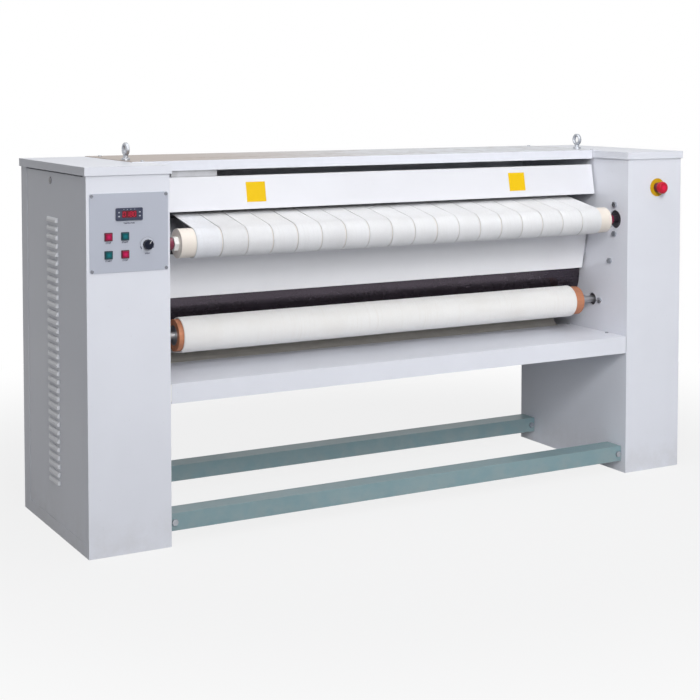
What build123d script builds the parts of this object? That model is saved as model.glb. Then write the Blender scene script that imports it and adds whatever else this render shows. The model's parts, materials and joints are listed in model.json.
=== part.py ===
from build123d import *
import math
import os

# Flatwork ironer: one heated drum between two cabinets, fed over the top by narrow belts and
# emptied at the front on to a shelf. Millimetres, +Z up, +X to the operator's right, the operator
# stands at -Y. The origin is on the floor, under the centre of the whole machine.

# ---------------------------------------------------------------- body and sheet metal
BODY_WIDTH = 2096.0          # between the outer faces of the two cabinets
LEFT_WIDTH = 242.0           # left cabinet, with drive and controls
RIGHT_WIDTH = 227.0          # right cabinet
BODY_HEIGHT = 1050.0         # floor to the lower edge of the lids
ESTOP_PROUD = 35.0           # mushroom head in front of the front face
GLAND_PROUD = 28.0           # cable gland behind the rear face
SHEET = 1.5                  # cladding thickness
WALL_PLATE = 6.0             # plates that carry the bearings
SEAM = 2.0                   # gap round a removable panel
SEAT = 0.3                   # gap between a soft piece and what carries it

LID_LIP = 23.5               # height of a lid, lip to top face
LID_OVERHANG = 5.0
LID_INNER_LIP = 180.0        # how far back the lip runs on the side of the rollers
COVER_DEPTH = 184.0          # front face of the top cover, behind the front face
COVER_LIP = 29.0             # height of the top cover's front lip
COVER_LAP = 38.0             # how far the top cover lies on each lid
COVER_SCREW_INSETS = (14.0, 32.0)  # from the top cover's front and from the rear face

POST = 25.0                  # front corner post, side view
REAR_POST = 56.0
FRAME_TUBE = 24.0            # thickness of the posts and rails
BOTTOM_RAIL = 37.0
TOP_RAIL = 23.0
BASE_SHEET = 3.0
BASE_UPSTAND = 25.0

PANEL_SHEET = 1.2
PANEL_SET_BACK = 1.0         # side panel behind the cabinet's outer face
PANEL_RETURN = 15.0          # depth of the side panel's folded edge
LOUVRE_LENGTH = 95.0
LOUVRE_HEIGHT = 14.0
LOUVRE_PROUD = 6.0
LOUVRE_TAPER = 7.0           # each end slopes back by this much along the louvre
LOUVRE_PITCH = 24.4
LOUVRE_FIRST = 154.0         # lowest louvre above the floor
LOUVRE_HEADROOM = 139.0      # kept free between the column and the lids, for the lock
LOUVRE_DEPTH = 292.0         # middle of the louvres behind the front face
LOCK_DEPTH = 310.0
LOCK_DROP = 28.0             # below the lids' lower edge
LOCK_RADIUS = 7.0
LOCK_RIM = 3.0               # the rim is this much larger than the barrel
LOCK_PROUD = 2.0             # rim in front of the side panel
LOCK_SLOT = (2.4, 10.0, 1.0)  # width, length and depth of the key slot
LOCK_CAM_THICK = 3.0
LOCK_CAM = 34.0

STIFFENER_SPAN = (89.0, 236.0)  # angle under the top cover, from the left wall
STIFFENER_BEHIND = 24.0      # its face behind the cover's front
STIFFENER_SIZE = (18.0, 60.0)  # flange and height
SLOT_PITCH = 44.0            # steam slots in the top cover
SLOT_LENGTH = 30.0
SLOT_WIDTH = 8.0
SLOT_DEPTH = 322.0           # row of slots behind the front face
SLOT_MARGIN = 190.0          # first slot from the wall

# ---------------------------------------------------------------- shelf, apron and ties
SHELF_DROP = 103.0           # shelf below the lower roller's axis
SHELF_LIP = 56.0
SHELF_REAR_LIP = 21.0
SHELF_SHEET = 2.0
SHELF_DEPTH = 312.0
SHELF_RETURN = 18.0
SHELF_GAP = 3.0              # between the shelf's ends and the walls
CLOSE_GAP = 0.6              # between the walls and the rear and bottom covers
SHELF_SCREW_INSETS = (85.0, 16.0)  # from the front face and from the shelf's rear edge
SHELF_SCREW_INSET = 15.0
BRACKET_LEG = 30.0
BRACKET_SHEET = 3.0

APRON_TOP = (40.0, 150.0)    # in front of the drum, above its axis
APRON_BOTTOM = (14.0, 17.0)
APRON_RETURN = 14.0
APRON_RETURN_DROP = 2.0      # the folds slope a little
APRON_TAB = 40.0             # height of the brackets behind the apron
APRON_FOOT = 24.0
SIDE_GAP = 8.0               # between the walls and the drum, apron and guard

GUIDE_INSET = 60.0           # guide plate's ends from the walls
GUIDE_FOOT = (16.0, 6.0)     # ends of its foot, in front of the shelf's rear edge
GUIDE_TOP = (16.0, 23.0)     # its top, behind that edge and above the shelf

TIE_HEIGHT = 50.0
TIE_WIDTH = 70.0
TIE_WALL = 4.0
TIE_BOTTOM = 38.0
TIE_INSETS = (20.0, 85.0)    # web of the front tie from the front, of the rear tie from the rear
TIE_END_GAP = 3.0
TIE_LUG = 60.0
TIE_LUG_SHEET = 6.0
TIE_BOLT_INSET = 17.0        # from the wall
TIE_LUG_INSET = 4.0          # rear edge of the lug's foot in front of the flanges' edge

# ---------------------------------------------------------------- rollers, drum and belts
FEED_DEPTH = 66.0
FEED_DROP = 203.0            # axis below the lids' lower edge
FEED_RADIUS = 42.0
FEED_END_GAP = 47.0          # roller end to wall
FEED_SHAFT = 12.5
FEED_HUB = 38.0              # across flats
FEED_HUB_THICK = 13.0
FEED_COLLAR = 18.0
FEED_COLLAR_THICK = 16.0
FEED_COLLAR_GAP = 1.0        # between hub and collar
FEED_COLLAR_CHAMFER = 1.5
FEED_HOLE = 30.5
FEED_TUBE_WALL = 4.0

BELT_PITCH = 80.4
BELT_ROOM = 85.0             # least room between the walls and the outermost belts
BELT_SPACE = 1.0
BELT_THICK = 3.0
BELT_RISE = 10.7             # slope of the belts' top run, degrees
REAR_FEED_AHEAD = 35.0       # in front of the drum's axis
REAR_FEED_RADIUS = 25.0
REAR_FEED_END_GAP = 58.0

LOWER_AHEAD = 201.0          # in front of the drum's axis
LOWER_DROP = 86.0            # below the drum's axis
LOWER_RADIUS = 47.0
LOWER_END_GAPS = (84.0, 69.0)  # roller ends to the left and the right wall
LOWER_SHAFT = 12.0
LOWER_HOLE = 21.0
LOWER_TUBE_WALL = 5.0
CLOTH_ROOMS = (97.0, 102.0)  # from the left and the right wall to the blanket's edges
BLANKET_THICK = 5.5

DRUM_DEPTH = 385.0
DRUM_DROP = 400.0            # axis below the lids' lower edge
DRUM_REAR_ROOM = 67.0        # from the back of the drum to the rear face
DRUM_RADIUS = 140.0
DRUM_WALL = 6.0
DRUM_DISC = 8.0
DRUM_DISC_INSET = 14.0
JOURNAL_RADIUS = 35.0
JOURNAL_BORE = 22.0
JOURNAL_FLANGE = 62.0
JOURNAL_FLANGE_THICK = 10.0
DRUM_HOLE = 48.0

GUIDE_ROLLER_RADIUS = 20.0
GUIDE_ROLLER_SHAFT = 8.0
GUIDE_ROLLER_END_GAP = 60.0
GUIDE_ROLLER_BEHIND = 21.0   # axes behind the back of the drum
GUIDE_ROLLER_RISES = (80.0, -160.0)  # axes above the drum's axis
GUIDE_HOLE = 14.0

HEATER_TUBE = 18.0
HEATER_TUBE_BORE = 12.0
HEATER_ROD = 6.0
HEATER_COUNT = 6
HEATER_CIRCLE = 78.0
HEATER_SPIDERS = 4
HEATER_SPIDER_THICK = 6.0
HEATER_MARGIN = 60.0
HEATER_SPIDER_INSET = 40.0   # outermost spiders from the rods' ends
HEATER_TUBE_PAST = 8.0       # still tube past the bridges
BRIDGE_STAND_OFF = 104.0     # bridge plate from the wall plate's inner face
BRIDGE_LEG = 170.0           # legs above and below the drum axis
BRIDGE_WIDTH = 50.0
BRIDGE_SHEET = 6.0

# ---------------------------------------------------------------- bearings and drive
FIT = 0.05                   # radial clearance of a running fit
BEARING_PLATE = 12.0
BEARING_DEPTH = 24.0
BEARING_EAR = 14.0
BEARING_BODY = 35.0
BEARING_BOSS = 27.0
BOLT_RADIUS = 5.0
BOLT_GAP = 0.4
BOLT_HEAD = 17.0             # across flats
BOLT_HEAD_THICK = 7.0
BOLT_PAST_NUT = 2.0
FEED_BOLT_SPAN = 98.0        # the feed roller's bearing is bolted above and below
LOWER_BOLT_SPAN = 84.0       # the lower roller's in front and behind
SMALL_BOLT_SPAN = 70.0
WALL_BOLT = (90.5, 345.0)    # bolt through the wall plate: behind the front, below the lids
DRUM_BEARING = 136.0         # square flange
DRUM_BEARING_BOLTS = 106.0
DRUM_BEARING_BOSS = 52.0
SHAFT_PAST_BEARING = 4.0

DRIVE_PITCH = 15.875
DRIVE_TEETH = 15
DRUM_TEETH = 57
FEED_PITCH = 12.7
FEED_TEETH = 14
DRUM_FEED_TEETH = 44
SPROCKET_WIDTH = 7.0
SPROCKET_HUB = 10.0
DRIVE_SPROCKET_OFFSET = 44.0 # from the wall plate's inner face
FEED_SPROCKET_OFFSET = 66.0
CHAIN_PLATE = 1.6
CHAIN_SIDE_GAP = 0.5
CHAIN_ROLLER = 4.2

MOTOR_HEIGHT = 230.0         # straight below the drum's axis
GEARBOX = (90.0, 100.0, 110.0)
GEARBOX_OFFSET = 66.0        # near face from the wall plate's inner face
GEARBOX_FILLET = 10.0
GEARBOX_NOSE = (30.0, 8.0)   # radius and length
GEARBOX_BACK_WALL = 8.0
GEARBOX_RIBS = 7
GEARBOX_RIB = (4.0, 4.0)     # how far a rib stands out, and its height
GEARBOX_RIB_FIRST = 18.0     # lowest rib above the gearbox's underside
GEARBOX_RIB_PITCH = 12.0
MOTOR_RADIUS = 55.0
MOTOR_CORE = 49.0            # radius under the fins
MOTOR_LENGTH = 128.0
MOTOR_FLANGE = 10.0
MOTOR_COWL = (54.0, 30.0)    # radius and length
MOTOR_COWL_FILLET = 8.0
MOTOR_FINS = 18
MOTOR_FIN = (8.0, 2.4)       # height and thickness
TERMINAL_BOX = (70.0, 62.0, 38.0)
TERMINAL_BOX_START = 22.0    # behind the motor's flange face
TERMINAL_BOX_RISE = 43.0     # its underside above the motor's axis
SHAFT_SHORT = 10.0           # motor shaft ends this far inside the gearbox's back
MOTOR_SHAFT = 12.5
STAND_SHEET = 4.0
STAND_FOOT = 20.0
EBOX_SIZE = (110.0, 180.0, 300.0)
EBOX_DEPTH = 30.0
EBOX_DROP = 84.0             # its top below the lower roller's axis
CONTACTOR_SIZE = (76.5, 45.0, 75.0)
CONTACTOR_COUNT = 3
CONTACTOR_MARGIN = 14.0      # first contactor from the box's front side
CONTACTOR_RISE = 110.0       # contactors above the box's floor

# ---------------------------------------------------------------- finger guard
GUARD_DROP = 24.0            # its top edge below the lids' lower edge
GUARD_LEAN = 19.0            # its lower edge in front of its top edge
GUARD_ABOVE_FEED = 80.0      # its lower edge above the feed roller's axis
GUARD_SHEET = 2.0
GUARD_TOP_RETURN = 20.0
GUARD_BOTTOM_RETURN = 12.0
GUARD_PIN = 4.0
GUARD_PIN_INSET = (12.0, 9.0)  # behind and below the guard's top edge
PLATE_SIZE = (63.0, 60.0)
PLATE_THICK = 1.0
PLATE_LEFT_INSET = 348.0     # middle of each yellow plate from the wall on its side
PLATE_RIGHT_INSET = 325.5
PLATE_BELOW_TOP = 49.0
SWITCH_SIZE = (22.0, 26.0, 46.0)
SWITCH_BEHIND = 21.0         # behind the guard's top edge
SWITCH_DROP = 88.0           # middle below the lids' lower edge
SWITCH_FILLET = 3.0
SWITCH_BRACKET_INSET = 6.0   # bracket's edges inside the switch's height
SWITCH_LEVER_X = (7.0, 11.0)  # lever, from the switch's left side
SWITCH_LEVER_PROUD = 6.0
SWITCH_LEVER_INSETS = (8.0, 4.0)  # its ends inside the switch's lower and upper face
GUARD_PIN_ENDS = (12.0, 4.0)  # pin inside the guard's cheek, and past the wall plate

# ---------------------------------------------------------------- lifting eyes
EYE_RADIUS = 20.0
EYE_BORE = 11.0
EYE_THICK = 12.0
EYE_CHAMFER = 2.5
EYE_COLLAR = 13.0
EYE_COLLAR_HEIGHT = 7.0
EYE_CENTRE = 32.0            # middle of the ring above the top cover
EYE_SHANK = 6.0
EYE_SHANK_END = 14.0         # below the flange
EYE_NECK = 7.5
EYE_COLLAR_CHAMFER = 2.0
EYE_NUT = 19.0               # across flats
EYE_INSET = 17.0             # outboard of the wall's inner face
EYE_FLANGE = (46.0, 80.0, 8.0)

# ---------------------------------------------------------------- controls
PANEL_MARGINS = (9.0, 6.0)   # control plate, from the left cabinet's outer and inner side
PANEL_DROPS = (266.0, 49.0)  # its lower and upper edge below the lids' lower edge
PLATE_PROUD = 2.0
CUTOUT_MARGIN = 16.0
PANEL_SCREW_INSET = 6.0
DISPLAY_CENTRE = (121.8, 107.2)  # from the left outer face, below the lids' lower edge
DISPLAY_BEZEL = (77.5, 34.5)
DISPLAY_PROUD = 4.0
DISPLAY_BODY = (71.0, 29.0, 58.0)
DISPLAY_WINDOW = (42.0, 19.0)
BUTTON_XS = (62.0, 109.7)
BUTTON_DROPS = (167.5, 217.0)
BUTTON_FLANGE = 23.0
BUTTON_FLANGE_PROUD = 3.0
BUTTON_CAP = 17.2
BUTTON_POCKET = 17.8
BUTTON_BODY = 20.0
BUTTON_PROUD = 6.0           # cap in front of the control plate
BUTTON_TRAVEL = 3.5
BUTTON_STEM = 4.0
BUTTON_DEPTH = 30.0
KNOB_CENTRE = (174.4, 192.7)
KNOB_RADIUS = 13.5
KNOB_LENGTH = 15.0
KNOB_GAP = 1.5
DIAL_RADIUS = 22.0
DIAL_THICK = 1.0
KNOB_ANGLE = 30.0            # pointer at rest, clockwise from the top
POT_RADIUS = 12.0
POT_DEPTH = 20.0
POT_SHAFT = 3.0
POT_BUSH = 5.0
ESTOP_INSET = 102.5          # from the right outer face
ESTOP_DROP = 96.0
ESTOP_DISC = 30.0
ESTOP_DISC_THICK = 2.0
ESTOP_COLLAR = 16.5
ESTOP_COLLAR_LENGTH = 11.0
ESTOP_PLUNGER = 9.0
ESTOP_HEAD = 20.0
ESTOP_HEAD_THICK = 16.0
ESTOP_TRAVEL = 4.0
ESTOP_SPIGOT = 5.0
ESTOP_BLOCK = (30.0, 42.0, 40.0)
GLAND_DEPTH_X = 70.0         # gland from the left outer face
GLAND_HEIGHT = 190.0
GLAND_BORE = 9.0
GLAND_RADIUS = 16.0
SCREW_HEAD = 4.5
SCREW_HEAD_THICK = 2.2
SCREW_SHANK = 2.0
SCREW_DENT = 1.4             # radius of the dent in a pan head
REAR_SCREW_INSETS = (12.0, 60.0)  # from the outer faces, from the floor and the lids

# ---------------------------------------------------------------- worked out from the sizes above
LEFT, RIGHT = -1, 1
WIDTHS = {LEFT: LEFT_WIDTH, RIGHT: RIGHT_WIDTH}
SIDE_NAMES = {LEFT: "left", RIGHT: "right"}
PLATE_INSETS = {LEFT: PLATE_LEFT_INSET, RIGHT: PLATE_RIGHT_INSET}
BODY_DEPTH = DRUM_DEPTH + DRUM_RADIUS + DRUM_REAR_ROOM
FRONT_Y = ESTOP_PROUD - (ESTOP_PROUD + BODY_DEPTH + GLAND_PROUD) / 2
BACK_Y = FRONT_Y + BODY_DEPTH
LID_TOP = BODY_HEIGHT + LID_LIP
LID_UNDERSIDE = LID_TOP - SHEET
COVER_TOP = LID_TOP + SHEET
PANEL_TOP = BODY_HEIGHT - 2 * SEAM
LOCK_HEIGHT = BODY_HEIGHT - LOCK_DROP
LOUVRE_COUNT = int((BODY_HEIGHT - LOUVRE_HEADROOM - LOUVRE_FIRST) / LOUVRE_PITCH) + 1
ROLLER_ROOM = BODY_WIDTH - LEFT_WIDTH - RIGHT_WIDTH
BELT_COUNT = int((ROLLER_ROOM - 2 * BELT_ROOM) / BELT_PITCH)
FEED = (FRONT_Y + FEED_DEPTH, BODY_HEIGHT - FEED_DROP)
DRUM = (FRONT_Y + DRUM_DEPTH, BODY_HEIGHT - DRUM_DROP)
LOWER = (DRUM[0] - LOWER_AHEAD, DRUM[1] - LOWER_DROP)
GUIDE_ROLLER_Y = DRUM[0] + DRUM_RADIUS + GUIDE_ROLLER_BEHIND
GUIDES = [(GUIDE_ROLLER_Y, DRUM[1] + rise) for rise in GUIDE_ROLLER_RISES]
SHELF_TOP = LOWER[1] - SHELF_DROP
EBOX_BOTTOM = LOWER[1] - EBOX_DROP - EBOX_SIZE[2]
REAR_COVER_BOTTOM = SHELF_TOP - SHELF_REAR_LIP
DRUM_FRONT = DRUM[0] - DRUM_RADIUS
GUARD_TOP = (FRONT_Y + COVER_DEPTH, BODY_HEIGHT - GUARD_DROP)
GUARD_BOTTOM = (GUARD_TOP[0] - GUARD_LEAN, FEED[1] + GUARD_ABOVE_FEED)
TIE_DEPTHS = (TIE_INSETS[0], BODY_DEPTH - TIE_INSETS[1])
SHELF_SCREW_DEPTHS = (SHELF_SCREW_INSETS[0], SHELF_DEPTH - SHELF_SCREW_INSETS[1])
COVER_SCREW_DEPTHS = (COVER_DEPTH + COVER_SCREW_INSETS[0], BODY_DEPTH - COVER_SCREW_INSETS[1])
PANEL_X = (PANEL_MARGINS[0], LEFT_WIDTH - PANEL_MARGINS[1])
PANEL_Z = (BODY_HEIGHT - PANEL_DROPS[0], BODY_HEIGHT - PANEL_DROPS[1])
BELT_FRONT = FEED_RADIUS + SEAT
BELT_REAR = REAR_FEED_RADIUS + SEAT
RISE = math.radians(BELT_RISE)
REAR_FEED_Y = DRUM[0] - REAR_FEED_AHEAD
BELT_CLIMB = (REAR_FEED_Y - FEED[0]) * math.tan(RISE) + (BELT_FRONT - BELT_REAR) / math.cos(RISE)
REAR_FEED = (REAR_FEED_Y, FEED[1] + BELT_CLIMB)
MOTOR = (DRUM[0], MOTOR_HEIGHT)


# ---------------------------------------------------------------- shapes
def block(x, y, z):
    """Box between two corners, each axis given as (low, high)."""
    middle = Pos((x[0] + x[1]) / 2, (y[0] + y[1]) / 2, (z[0] + z[1]) / 2)
    return middle * Box(x[1] - x[0], y[1] - y[0], z[1] - z[0])


def rod_x(radius, x, centre):
    """Round bar along X between two planes, centre given as (y, z)."""
    return Pos((x[0] + x[1]) / 2, *centre) * Rot(0, 90, 0) * Cylinder(radius, x[1] - x[0])


def rod_y(radius, y, centre):
    """Round bar along Y between two planes, centre given as (x, z)."""
    place = Pos(centre[0], (y[0] + y[1]) / 2, centre[1])
    return place * Rot(90, 0, 0) * Cylinder(radius, y[1] - y[0])


def rod_z(radius, z, centre):
    """Upright round bar, centre given as (x, y)."""
    return Pos(*centre, (z[0] + z[1]) / 2) * Cylinder(radius, z[1] - z[0])


def side_view(x):
    """Plane across the machine at x, with local X to the rear and local Y up."""
    return Plane(origin=(x, 0, 0), x_dir=(0, 1, 0), z_dir=(1, 0, 0))


def prism(sketch, x):
    """A side-view outline carried along X."""
    return extrude(side_view(x[0]) * sketch, x[1] - x[0])


def hex_x(across, x, centre):
    """Hexagon bar along X."""
    return prism(Pos(*centre) * RegularPolygon(across / 2, 6, major_radius=False), x)


def ordered(a, b):
    return (min(a, b), max(a, b))


def from_outside(side, a, b):
    """X range lying a to b inward of a cabinet's outer face."""
    half = BODY_WIDTH / 2
    return ordered(side * (half - a), side * (half - b))


def wall_x(side):
    """X of the wall plate's face that looks at the rollers."""
    return side * (BODY_WIDTH / 2 - WIDTHS[side])


def from_wall(side, a, b):
    """X range lying a to b into the cabinet from that face; negative is towards the rollers."""
    return ordered(wall_x(side) + side * a, wall_x(side) + side * b)


def between_walls(gap, right_gap=None):
    """X range between the walls, short of each by a gap; the right one may have its own."""
    return (wall_x(LEFT) + gap, wall_x(RIGHT) - (gap if right_gap is None else right_gap))


def depth(a, b):
    """Y range given behind the front face."""
    return (FRONT_Y + a, FRONT_Y + b)


def before_drum(point):
    """(in front of the drum, above its axis) as (y, z)."""
    return (DRUM_FRONT - point[0], DRUM[1] + point[1])


def from_left(x):
    """X given from the left outer face."""
    return x - BODY_WIDTH / 2


def on_controls(point):
    """(from the left outer face, below the lids) as (x, z)."""
    return (from_left(point[0]), BODY_HEIGHT - point[1])


def strip(points, thickness):
    """Folded sheet in side view: an open line given a thickness on its left side."""
    outline = []
    for i, point in enumerate(points):
        normals = []
        for a, b in ((i - 1, i), (i, i + 1)):
            if a >= 0 and b < len(points):
                dy, dz = points[b][0] - points[a][0], points[b][1] - points[a][1]
                length = math.hypot(dy, dz)
                normals.append((-dz / length, dy / length))
        ny = sum(n[0] for n in normals)
        nz = sum(n[1] for n in normals)
        scale = thickness * len(normals) / (ny * ny + nz * nz)
        outline.append((point[0] + ny * scale, point[1] + nz * scale))
    return Polygon(*points, *reversed(outline), align=None)


def tangent(a, b):
    """Points where a straight run leaves turn a and meets turn b.

    A turn is (centre, radius, way), way +1 where the run goes round it counter-clockwise.
    """
    dy, dz = b[0][0] - a[0][0], b[0][1] - a[0][1]
    heading = math.atan2(dz, dy) - math.asin((b[2] * b[1] - a[2] * a[1]) / math.hypot(dy, dz))
    left = (-math.sin(heading), math.cos(heading))
    return [(t[0][0] - t[2] * t[1] * left[0], t[0][1] - t[2] * t[1] * left[1]) for t in (a, b)]


def loop_face(turns):
    """Face inside a closed run of arcs and tangents round the turns, taken in order."""
    count = len(turns)
    runs = [tangent(turns[i], turns[(i + 1) % count]) for i in range(count)]
    edges = []
    for i, (centre, radius, way) in enumerate(turns):
        start, end = runs[i - 1][1], runs[i][0]
        first = math.atan2(start[1] - centre[1], start[0] - centre[0])
        last = math.atan2(end[1] - centre[1], end[0] - centre[0])
        sweep = (way * (last - first)) % (2 * math.pi)
        middle = first + way * sweep / 2
        half_way = (centre[0] + radius * math.cos(middle), centre[1] + radius * math.sin(middle))
        edges.append(ThreePointArc(start, half_way, end))
        edges.append(Line(end, runs[i][1]))
    return make_face(edges)


def band_face(turns, thickness):
    """Band of even thickness round the turns; its inner side touches those taken at way +1."""
    outer = [(c, r + thickness if way > 0 else r, way) for c, r, way in turns]
    inner = [(c, r if way > 0 else r + thickness, way) for c, r, way in turns]
    return loop_face(outer) - loop_face(inner)


# ---------------------------------------------------------------- collecting the nodes
NODES = {}


def node(name, *pieces):
    """Keep the separate solids of one sub-part under its name."""
    found = []
    for piece in pieces:
        found += list(piece.solids())
    NODES[name] = found


# ---------------------------------------------------------------- cabinets
def shaft_holes(side):
    """Holes in a wall plate for shafts, bearing bolts and the guard's pin."""
    x = from_wall(side, -1, WALL_PLATE + 1)
    holes = [
        rod_x(FEED_HOLE, x, FEED),
        rod_x(LOWER_HOLE, x, LOWER),
        rod_x(DRUM_HOLE, x, DRUM),
        rod_x(GUARD_PIN + FIT, x, guard_pivot()),
    ]
    holes += [rod_x(GUIDE_HOLE, x, centre) for centre in [REAR_FEED, *GUIDES]]
    bolts = [*bearing_bolt_places(), wall_bolt_place()]
    holes += [rod_x(BOLT_RADIUS + BOLT_GAP, x, centre) for centre in bolts]
    return holes


def wall_plate(side):
    plate = block(
        from_wall(side, 0, WALL_PLATE), (FRONT_Y + SHEET, BACK_Y - SHEET), (0, LID_UNDERSIDE)
    )
    width, length, thick = EYE_FLANGE
    flange = block(
        from_wall(side, WALL_PLATE, width),
        ((FRONT_Y + BACK_Y - length) / 2, (FRONT_Y + BACK_Y + length) / 2),
        (LID_UNDERSIDE - thick, LID_UNDERSIDE),
    )
    shank_hole = rod_z(EYE_SHANK + SEAT, (LID_UNDERSIDE - 2 * thick, LID_TOP), eye_place(side))
    return (plate + flange) - shaft_holes(side) - shank_hole


def front_cover(side):
    z = (0, LID_UNDERSIDE)
    face = block(from_outside(side, 0, WIDTHS[side]), depth(0, SHEET), z)
    corner = block(from_outside(side, 0, SHEET), depth(SHEET, POST), z)
    cover = face + corner
    if side == LEFT:
        hole = block(
            (from_left(PANEL_X[0] + CUTOUT_MARGIN), from_left(PANEL_X[1] - CUTOUT_MARGIN)),
            depth(-1, SHEET + 1),
            (PANEL_Z[0] + CUTOUT_MARGIN, PANEL_Z[1] - CUTOUT_MARGIN),
        )
        screw_holes = [
            rod_y(SCREW_SHANK + SEAT, depth(-1, SHEET + 1), place) for place in panel_screws()
        ]
        return cover - hole - screw_holes
    return cover - rod_y(ESTOP_PLUNGER + 3.0, depth(-1, SHEET + 1), estop_place())


def side_frame(side):
    """Welded frame round the side panel: two posts and two rails."""
    tall = (0, LID_UNDERSIDE)
    front_post = block(
        from_outside(side, SHEET, FRAME_TUBE), depth(SHEET, POST), tall
    )
    rear_post = block(
        from_outside(side, 0, FRAME_TUBE), (BACK_Y - REAR_POST, BACK_Y - SHEET), tall
    )
    run = (FRONT_Y + POST, BACK_Y - REAR_POST)
    bottom = block(from_outside(side, 0, FRAME_TUBE), run, (0, BOTTOM_RAIL))
    top = block(
        from_outside(side, SHEET, FRAME_TUBE - SHEET), run, (LID_UNDERSIDE - TOP_RAIL, LID_UNDERSIDE)
    )
    return front_post + rear_post + bottom + top


def louvre_heights():
    return [LOUVRE_FIRST + i * LOUVRE_PITCH for i in range(LOUVRE_COUNT)]


def hood(side, height, shrink):
    """One pressed louvre: a quarter round hood, closed above and at its sloping ends."""
    half = LOUVRE_HEIGHT / 2
    reach = LOUVRE_PROUD - shrink
    top = half - shrink
    skin = from_outside(side, PANEL_SET_BACK, PANEL_SET_BACK)[0]
    back = skin - side * (PANEL_SHEET + shrink)
    arc = ThreePointArc(
        (skin, height + top),
        (skin + side * reach * math.sin(math.pi / 4), height - half + (top + half) * math.cos(math.pi / 4)),
        (skin + side * reach, height - half),
    )
    outline = [
        arc,
        Line((skin + side * reach, height - half), (back, height - half)),
        Line((back, height - half), (back, height + top)),
        Line((back, height + top), (skin, height + top)),
    ]
    length = LOUVRE_LENGTH - 2 * shrink
    start = FRONT_Y + LOUVRE_DEPTH + length / 2
    end = start - length
    plane = Plane(origin=(0, start, 0), x_dir=(1, 0, 0), z_dir=(0, -1, 0))
    taper = LOUVRE_TAPER * reach / LOUVRE_PROUD
    plan = [
        (back, start),
        (skin, start),
        (skin + side * reach, start - taper),
        (skin + side * reach, end + taper),
        (skin, end),
        (back, end),
    ]
    sloped = extrude(Pos(0, 0, height) * Polygon(*plan, align=None), half, both=True)
    return extrude(plane * make_face(outline), length) & sloped


def side_panel(side):
    """Lift-out panel: a shallow tray with a column of louvres and a hole for its lock."""
    y = (FRONT_Y + POST + SEAM, BACK_Y - REAR_POST - SEAM)
    z = (BOTTOM_RAIL + SEAT, PANEL_TOP)
    tray = block(from_outside(side, PANEL_SET_BACK, PANEL_RETURN), y, z)
    inside = block(
        from_outside(side, PANEL_SET_BACK + PANEL_SHEET, PANEL_RETURN + 1),
        (y[0] + PANEL_SHEET, y[1] - PANEL_SHEET),
        (z[0] + PANEL_SHEET, z[1] - PANEL_SHEET),
    )
    panel = tray - inside
    panel = panel + [hood(side, height, 0) for height in louvre_heights()]
    panel = panel - [hood(side, height, PANEL_SHEET) for height in louvre_heights()]
    keyhole = rod_x(LOCK_RADIUS + FIT, from_outside(side, -2, FRAME_TUBE), lock_place())
    return panel - keyhole


def lock_place():
    return (FRONT_Y + LOCK_DEPTH, LOCK_HEIGHT)


def side_lock(side):
    """Quarter-turn lock: barrel with a rim outside, cam inside the top rail."""
    face = PANEL_SET_BACK - LOCK_PROUD
    barrel = rod_x(LOCK_RADIUS, from_outside(side, face, FRAME_TUBE), lock_place())
    rim_x = from_outside(side, face, PANEL_SET_BACK - SEAT)
    rim = rod_x(LOCK_RADIUS + LOCK_RIM, rim_x, lock_place())
    y, z = lock_place()
    cam = block(
        from_outside(side, FRAME_TUBE, FRAME_TUBE + LOCK_CAM_THICK),
        (y - LOCK_RADIUS, y + LOCK_CAM),
        (z - LOCK_RADIUS + 1, z + LOCK_RADIUS - 1),
    )
    slot_width, slot_length, slot_depth = LOCK_SLOT
    key_slot = block(
        from_outside(side, face - 1, face + slot_depth),
        (y - slot_width / 2, y + slot_width / 2),
        (z - slot_length / 2, z + slot_length / 2),
    )
    return barrel + rim + cam - key_slot


def base_tray(side):
    x = from_outside(side, FRAME_TUBE, WIDTHS[side] - WALL_PLATE)
    y = (FRONT_Y + SHEET, BACK_Y - SHEET)
    floor = block(x, y, (0, BASE_SHEET))
    front = block(x, (y[0], y[0] + BASE_SHEET), (0, BASE_UPSTAND))
    rear = block(x, (y[1] - BASE_SHEET, y[1]), (0, BASE_UPSTAND))
    return floor + front + rear


def lid(side):
    """Cabinet lid: a tray turned down over the body, its inner lip cut away for the top cover."""
    over = LID_OVERHANG
    y = (FRONT_Y - over, BACK_Y + over)
    x = from_outside(side, -over, WIDTHS[side] + over)
    shell = block(x, y, (BODY_HEIGHT, LID_TOP))
    hollow = block(
        from_outside(side, SHEET - over, WIDTHS[side] + over - SHEET),
        (y[0] + SHEET, y[1] - SHEET),
        (BODY_HEIGHT - 1, LID_UNDERSIDE),
    )
    notch = block(
        from_outside(side, WIDTHS[side], WIDTHS[side] + over + 1),
        (FRONT_Y + LID_INNER_LIP, BACK_Y + over + 1),
        (BODY_HEIGHT - 1, LID_TOP + 1),
    )
    hole = rod_z(EYE_SHANK + SEAT, (LID_UNDERSIDE - 1, LID_TOP + 1), eye_place(side))
    return shell - hollow - notch - hole


def rear_cover(side):
    cover = block(from_outside(side, 0, WIDTHS[side]), (BACK_Y - SHEET, BACK_Y), (0, LID_UNDERSIDE))
    if side == LEFT:
        return cover - rod_y(GLAND_BORE + 4, (BACK_Y - 3, BACK_Y + 1), gland_place())
    return cover


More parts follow.
